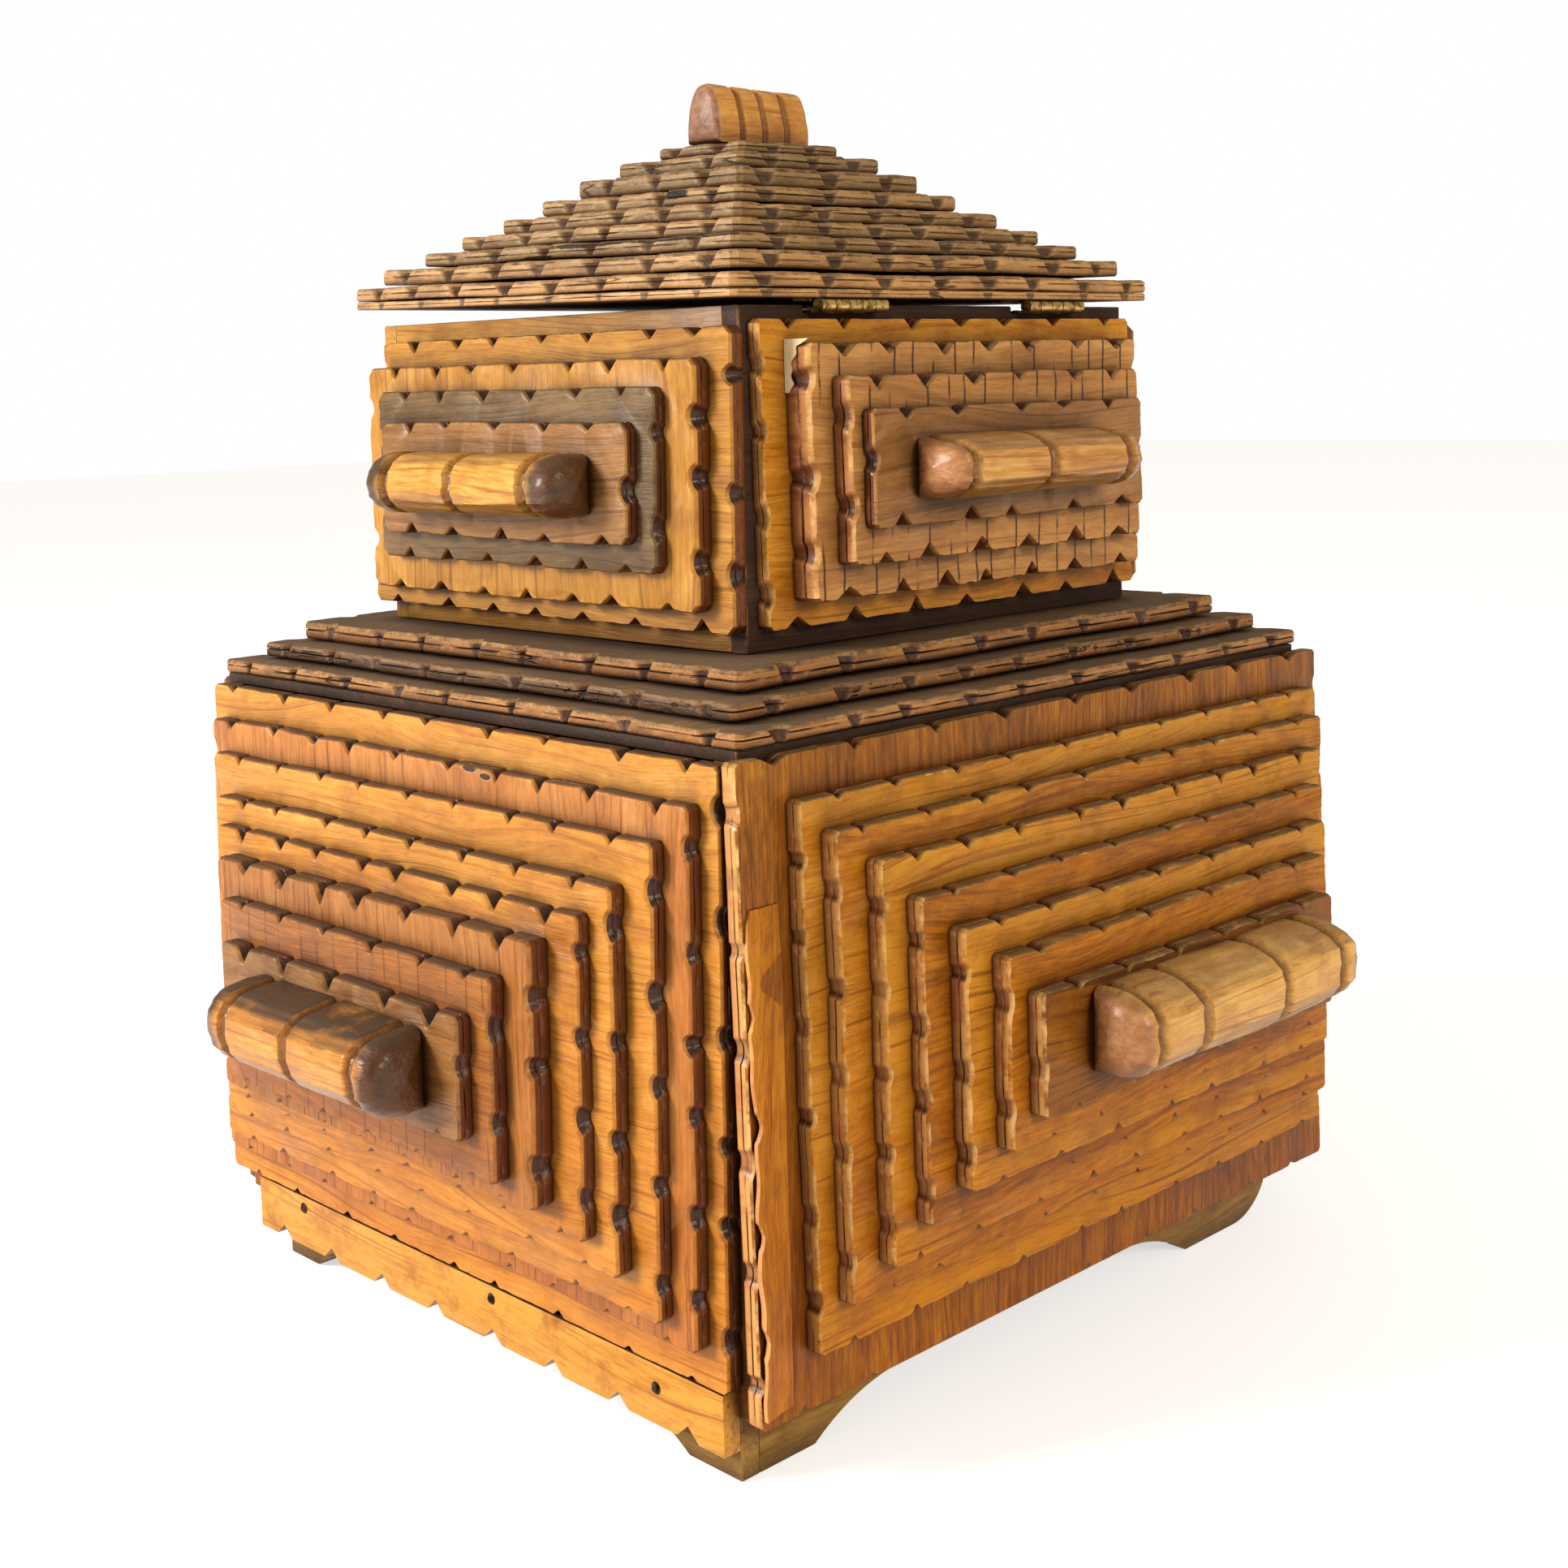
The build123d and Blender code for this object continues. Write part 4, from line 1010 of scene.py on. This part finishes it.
def makeBarTree():
    # a grid rolled up into a D, drawn in at its ends and grooves; along is Z, the flat back is at X 0
    tree, given, ids = newTree("whittledBar", barSockets)
    rows, capRows, front, facet = barShape["rows"], barShape["capRows"], barShape["front"], barShape["facet"]
    grid = wire(tree, "GeometryNodeMeshGrid", {
        "Size X": 1.0, "Size Y": 1.0, "Vertices X": barShape["around"], "Vertices Y": rows})
    place = split(wire(tree, "GeometryNodeInputPosition"))
    turn = place[0] + 0.5
    row = (place[1] + 0.5) * (rows - 1)
    walk = span(row, capRows, rows - 1 - capRows)
    along = given["Start"] + (given["End"] - given["Start"]) * walk
    fromEnd = calc("MINIMUM", along - given["Start"], given["End"] - along)
    capShare = calc("DIVIDE", calc("MINIMUM", row, (rows - 1) - row), capRows, clamp=True)
    rim = calc("SUBTRACT", 1.0, fromEnd / given["End round"], clamp=True)
    rim = calc("SQRT", calc("MAXIMUM", 1.0 - rim * rim, 0.0))
    scale = capShare * (1.0 - given["End share"] + rim * given["End share"])
    gaps = [abs(along - given[f"Groove {number}"]) for number in range(1, 5)]
    nearest = gaps[0]
    for gap in gaps[1:]:
        nearest = calc("MINIMUM", nearest, gap)
    inside = calc("SUBTRACT", 1.0, nearest / (given["Groove width"] * 0.5), clamp=True)
    depth = easeCurve(inside, barShape["groove"]) * given["Groove depth"]

    # around: most of the turn draws the D, the rest comes back along its flat
    angle = span(turn, 0.0, front, -pi / 2, pi / 2)
    back = span(turn, front, 1.0, 1.0, -1.0)
    onFlat = calc("GREATER_THAN", turn, front + 0.0001)
    out = calc("POWER", calc("MAXIMUM", calc("COSINE", angle), 0.0), given["Squareness"]) * (1.0 - onFlat)
    sine = calc("SINE", angle)
    over = calc("SIGN", sine) * calc("POWER", abs(sine), given["Squareness"])
    over = over * (1.0 - onFlat) + back * onFlat

    # knife marks, and flat facets along the bar
    knife = noise(joined(out, over, along * 12.0), 1.6, 1, seed=given["Seed"])
    knife = (knife - barShape["knifeOffset"]) * barShape["knifeDepth"]
    turned = calc("SINE", given["Seed"] + along * 40.0) * 0.1
    flat = calc("FLOORED_MODULO", angle + turned, facet) - facet / 2
    flat = (cos(facet / 2) / calc("COSINE", flat) - 1.0) * (given["Facets"] * 2.0) + 1.0
    reach = (given["Reach"] + knife - depth) * flat
    half = given["Width"] * 0.5 + knife - depth
    x = out * reach * (scale * 0.999 + 0.001) + (1.0 - scale) * (given["Reach"] * 0.4)
    dome = (1.0 - capShare) * barShape["dome"]
    z = along + dome * calc("SIGN", row - rows / 2)
    shape = store(grid, "groove", inside)
    # the end mask marks where ends darken: stain with painted shade
    ragged = knife * barShape["ragged"] * given["End stain"]
    shape = store(shape, "end", 1.0 - span((fromEnd + ragged) / given["End stain"], 0.45, 1.0))
    shape = wire(tree, "GeometryNodeSetPosition", {"Geometry": shape, "Position": joined(x, over * half * scale, z)})
    endTree(mergeNear(shape, 0.00004), given["Finish"])
    return tree, ids


barTool = makeBarTree()

longGrooves = (-0.035, -0.016, 0.020, 0.047)
sideGrooves = (-0.037, -0.006, 0.027)
endGrooves = (-0.032, -0.002, 0.030)
bars = {
    "drawer_pull": {"body": "drawer", "finishes": [pullWood], "stain": 0.007, "front": (-0.026, 0.004, 0.034)},
    "side_bars": {"body": "case", "finishes": [barWood, paleBarWood], "stain": 0.005, "right": longGrooves,
                  "left": longGrooves, "back": (-0.026, 0.004, 0.034)},
    "upper_bars": {"body": "case", "finishes": [barWood, paleBarWood], "stain": 0.0085, "front": endGrooves,
                   "back": endGrooves, "right": sideGrooves, "left": sideGrooves},
}
barEnds = {"inset": 0.0009, "paleEndStainAndShade": 0.004}


def barPart(ends, width, reach, grooves, number, place, **more):
    values = {"Width": width, "Reach": reach, "Start": ends[0] + barEnds["inset"], "End": ends[1] - barEnds["inset"],
              "Seed": someSeed(), **more}
    values.update({f"Groove {order + 1}": groove for order, groove in enumerate(grooves)})
    spots, faces, found = readMesh(bakeTree(barTool, values, bpy.data.meshes.new("seed")), ["groove", "end"])
    return {
        "spots": moved(spots, place), "faces": faces, "material": number, "sides": {},
        "points": {"grain": spots[:, (2, 1, 0)] + somewhere(), **found, "place": spots * 0,
                   "tone": toneOf(spots, 0.3)},
    }


for node, plan in bars.items():
    parts = []
    for solid in solidsOf(node):
        points = np.array([tuple(point) for point in solid["points"]])
        low, high = points.min(axis=0), points.max(axis=0)
        outAxis = 0 if high[1] - low[1] > high[0] - low[0] else 1
        sign = 1 if low[outAxis] + high[outAxis] > 0 else -1
        side = {(1, 1): "back", (1, -1): "front", (0, 1): "right", (0, -1): "left"}[(outAxis, sign)]
        out = Vector((0, 0, 0))
        out[outAxis] = sign
        run = Vector((0, 0, 1)).cross(out)
        root = low[outAxis] if sign > 0 else high[outAxis]
        origin = out * abs(root) + Vector((0, 0, (low[2] + high[2]) / 2))
        ends = sorted(float(np.dot(corner, np.array(run))) for corner in (low, high))
        isPale = outAxis == 0
        parts.append(barPart(ends, float(high[2] - low[2]), float(high[outAxis] - low[outAxis]), plan[side],
                             int(isPale), frameAt(out, (0, 0, 1), run, origin),
                             **{"End stain": barEnds["paleEndStainAndShade"] if isPale else plan["stain"]}))
    handOver(joinParts(node + "_wood", parts, plan["finishes"]), plan["body"], "bar_wood", node)

lidHandle = {"width": 0.0153, "length": 0.040, "height": 0.0175, "grooves": (-0.009, 0.0, 0.009),
             "more": {"Squareness": 0.8, "Groove width": 0.003, "Groove depth": 0.0011, "End round": 0.0022,
                      "End share": 0.28, "End stain": 0.0012, "Facets": 0.3}}
lidUp = max(solidsOf("lid_base")[0]["normals"], key=lambda item: item[1] * (item[0].z > 0))[0]
handlePoints = solidsOf("lid_handle")[0]["points"]
handleFoot = min(point.dot(lidUp) for point in handlePoints)
handleRight = Vector((0, 1, 0)).cross(lidUp)
handleShift = sum(point.dot(handleRight) for point in handlePoints) / len(handlePoints)
place = frameAt(lidUp, handleRight, (0, 1, 0), lidUp * handleFoot + handleRight * handleShift)
handleEnds = (-lidHandle["length"] / 2, lidHandle["length"] / 2)
handle = barPart(handleEnds, lidHandle["width"], lidHandle["height"], lidHandle["grooves"], 0, place,
                 **lidHandle["more"])
handOver(joinParts("lid_handle_wood", [handle], [handleWood]), "lid", "bar_wood", "lid_handle")
print("bars whittled")


# hinges, screws and nails

for node in ("hinge_box_leaves", "hinge_lid_leaves", "hinge_pins"):
    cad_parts[node].data.materials.clear()
    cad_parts[node].data.materials.append(agedBrass)

headSockets = {"Radius": 0.0014, "Dome": 0.0007, "Spread": 0.15, "Seed": 3, "Finish": None}


def makeHeadTree():
    # a low head on every point, facing out along the point's own direction
    tree, given, ids = newTree("headsOnPoints", headSockets)
    body = wire(tree, "GeometryNodeMeshCone", {
        "Vertices": 20, "Side Segments": 2, "Fill Segments": 2, "Radius Bottom": given["Radius"],
        "Radius Top": given["Radius"] * 0.55, "Depth": given["Dome"]}, "Mesh")
    local = scaled(wire(tree, "GeometryNodeInputPosition"), 1.0 / given["Radius"])
    body = store(body, "head", local, "FLOAT_VECTOR")
    out = wire(tree, "GeometryNodeInputNamedAttribute", {"Name": "out"}, data_type="FLOAT_VECTOR")
    turn = wire(tree, "FunctionNodeAlignRotationToVector", {"Vector": out}, axis="Z")
    number = wire(tree, "GeometryNodeInputIndex")
    chance = wire(tree, "FunctionNodeRandomValue", {2: -1.0, 3: 1.0, "ID": number, "Seed": given["Seed"]}, 1,
                  data_type="FLOAT")
    size = chance * given["Spread"] + 1.0
    points = wire(tree, "GeometryNodeMeshToPoints", {"Mesh": given["Geometry"]})
    heads = wire(tree, "GeometryNodeInstanceOnPoints", {
        "Points": points, "Instance": body, "Rotation": turn, "Scale": joined(size, size, 1.0)})
    endTree(heads, given["Finish"])
    return tree, ids


headTool = makeHeadTree()


def buildHeads(name, spots, out, finish, body, slot, plan):
    points = bpy.data.meshes.new("points")
    points.from_pydata(spots, [], [])
    points.attributes.new("out", "FLOAT_VECTOR", "POINT").data.foreach_set("vector", list(out) * len(spots))
    values = {"Radius": plan["Radius"], "Dome": plan["Dome"], "Finish": finish}
    handOver(placeMesh(name, bakeTree(headTool, values, points), 50), body, slot)


apronNails = {"spots": [(-0.076, 0.020), (0.017, 0.020), (0.084, 0.0175)], "Radius": 0.0015, "Dome": 0.0007}
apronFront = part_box("apron")[0].y
nailSpots = [(x, apronFront, z) for x, z in apronNails["spots"]]
buildHeads("apron_nails", nailSpots, (0, -1, 0), nailSteel, "case", "dark_steel", apronNails)

hingeScrews = {"across": (-0.0085, 0.0, 0.0085), "middle": 0.042, "in": 0.0021, "sunk": 0.00005, "Radius": 0.00115,
               "Dome": 0.0003}
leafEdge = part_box("hinge_box_leaves")[0].x
screwX = leafEdge + hingeScrews["in"]


def leafHeights(node):
    # heights of the leaf's corners along its edge away from the pin
    return [vert.co.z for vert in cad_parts[node].data.vertices if vert.co.x < leafEdge + 0.0005]


boxLeafZ = max(leafHeights("hinge_box_leaves")) - hingeScrews["sunk"]
lidLeafZ = min(leafHeights("hinge_lid_leaves")) - (lidUp.x / lidUp.z) * hingeScrews["in"] + hingeScrews["sunk"]
screwRows = [side * hingeScrews["middle"] + shift for side in (-1, 1) for shift in hingeScrews["across"]]
for name, z, out, body in (("box_hinge_screws", boxLeafZ, (0, 0, 1), "case"),
                           ("lid_hinge_screws", lidLeafZ, -lidUp, "lid")):
    buildHeads(name, [(screwX, y, z) for y in screwRows], out, screwBrass, body, "aged_brass", hingeScrews)
print("nails driven")


# floor, light, camera

stageLook = {"floor": 0.72, "glow": 0.62, "world": 0.5, "half": 6, "drop": 0.0003}

half, low = stageLook["half"], -stageLook["drop"]
floorMesh = bpy.data.meshes.new("floor")
floorMesh.from_pydata([(-half, -half, low), (half, -half, low), (half, half, low), (-half, half, low)], [],
                      [(0, 1, 2, 3)])
floor = bpy.data.objects.new("floor", floorMesh)
scene.collection.objects.link(floor)
floorFinish, tree = newFinish("paleFloor")
rays = [wire(tree, "ShaderNodeLightPath", output=ray)
        for ray in ("Is Camera Ray", "Is Glossy Ray", "Is Transmission Ray")]
seen = calc("ADD", rays[0] + rays[1], rays[2], clamp=True)
matt = wire(tree, "ShaderNodeBsdfDiffuse", {"Color": (stageLook["floor"],) * 3 + (1,)})
glow = wire(tree, "ShaderNodeEmission", {"Color": (1, 1, 1, 1), "Strength": seen * stageLook["glow"]})
both = wire(tree, "ShaderNodeAddShader", {0: matt, 1: glow})
addNode(tree, "ShaderNodeOutputMaterial", {"Surface": both})
floorMesh.materials.append(floorFinish)

world = bpy.data.worlds.new("studio")
scene.world = world
world.use_nodes = True
tree = world.node_tree
tree.nodes.clear()
rays = [wire(tree, "ShaderNodeLightPath", output=ray) for ray in ("Is Camera Ray", "Is Transmission Ray")]
seen = calc("ADD", rays[0], rays[1], clamp=True)
sky = wire(tree, "ShaderNodeBackground", {"Color": blend(seen, (1.0, 0.93, 0.82, 1), (1, 1, 1, 1)),
                                          "Strength": span(seen, 0.0, 1.0, stageLook["world"], 1.0)})
addNode(tree, "ShaderNodeOutputWorld", {"Surface": sky})

lamps = {
    "windowLeft": {"spot": (-0.8, -1.6, 0.9), "size": 0.6, "power": 42, "tint": (1.0, 0.96, 0.9)},
    "windowRight": {"spot": (1.7, -0.2, 0.9), "size": 0.5, "power": 13, "tint": (1.0, 0.88, 0.7)},
}
lampAim = Vector((0, 0, 0.15))
for name, look in lamps.items():
    lamp = bpy.data.lights.new(name, "AREA")
    lamp.shape, lamp.size, lamp.energy, lamp.color = "SQUARE", look["size"], look["power"], look["tint"]
    holder = bpy.data.objects.new(name, lamp)
    holder.location = look["spot"]
    holder.rotation_euler = (lampAim - Vector(look["spot"])).to_track_quat("-Z", "Y").to_euler()
    scene.collection.objects.link(holder)

cameraLook = {"lens": 48.6, "shift": -0.129, "spot": (0.4660, -0.4444, 0.2636), "azimuth": 45.67, "elevation": 5.52,
              "roll": -1.51}
camera = bpy.data.cameras.new("camera")
camera.sensor_width, camera.lens, camera.shift_y = 36.0, cameraLook["lens"], cameraLook["shift"]
camera.clip_start = 0.01
view = bpy.data.objects.new("camera", camera)
azimuth, elevation, roll = (radians(cameraLook[angle]) for angle in ("azimuth", "elevation", "roll"))
backward = Vector((sin(azimuth) * cos(elevation), -cos(azimuth) * cos(elevation), sin(elevation)))
level = Vector((cos(azimuth), sin(azimuth), 0))
upward = backward.cross(level)
view.matrix_world = frameAt(level * cos(roll) + upward * sin(roll), upward * cos(roll) - level * sin(roll), backward,
                            cameraLook["spot"])
scene.collection.objects.link(view)
scene.camera = view
scene.view_settings.view_transform = "Standard"
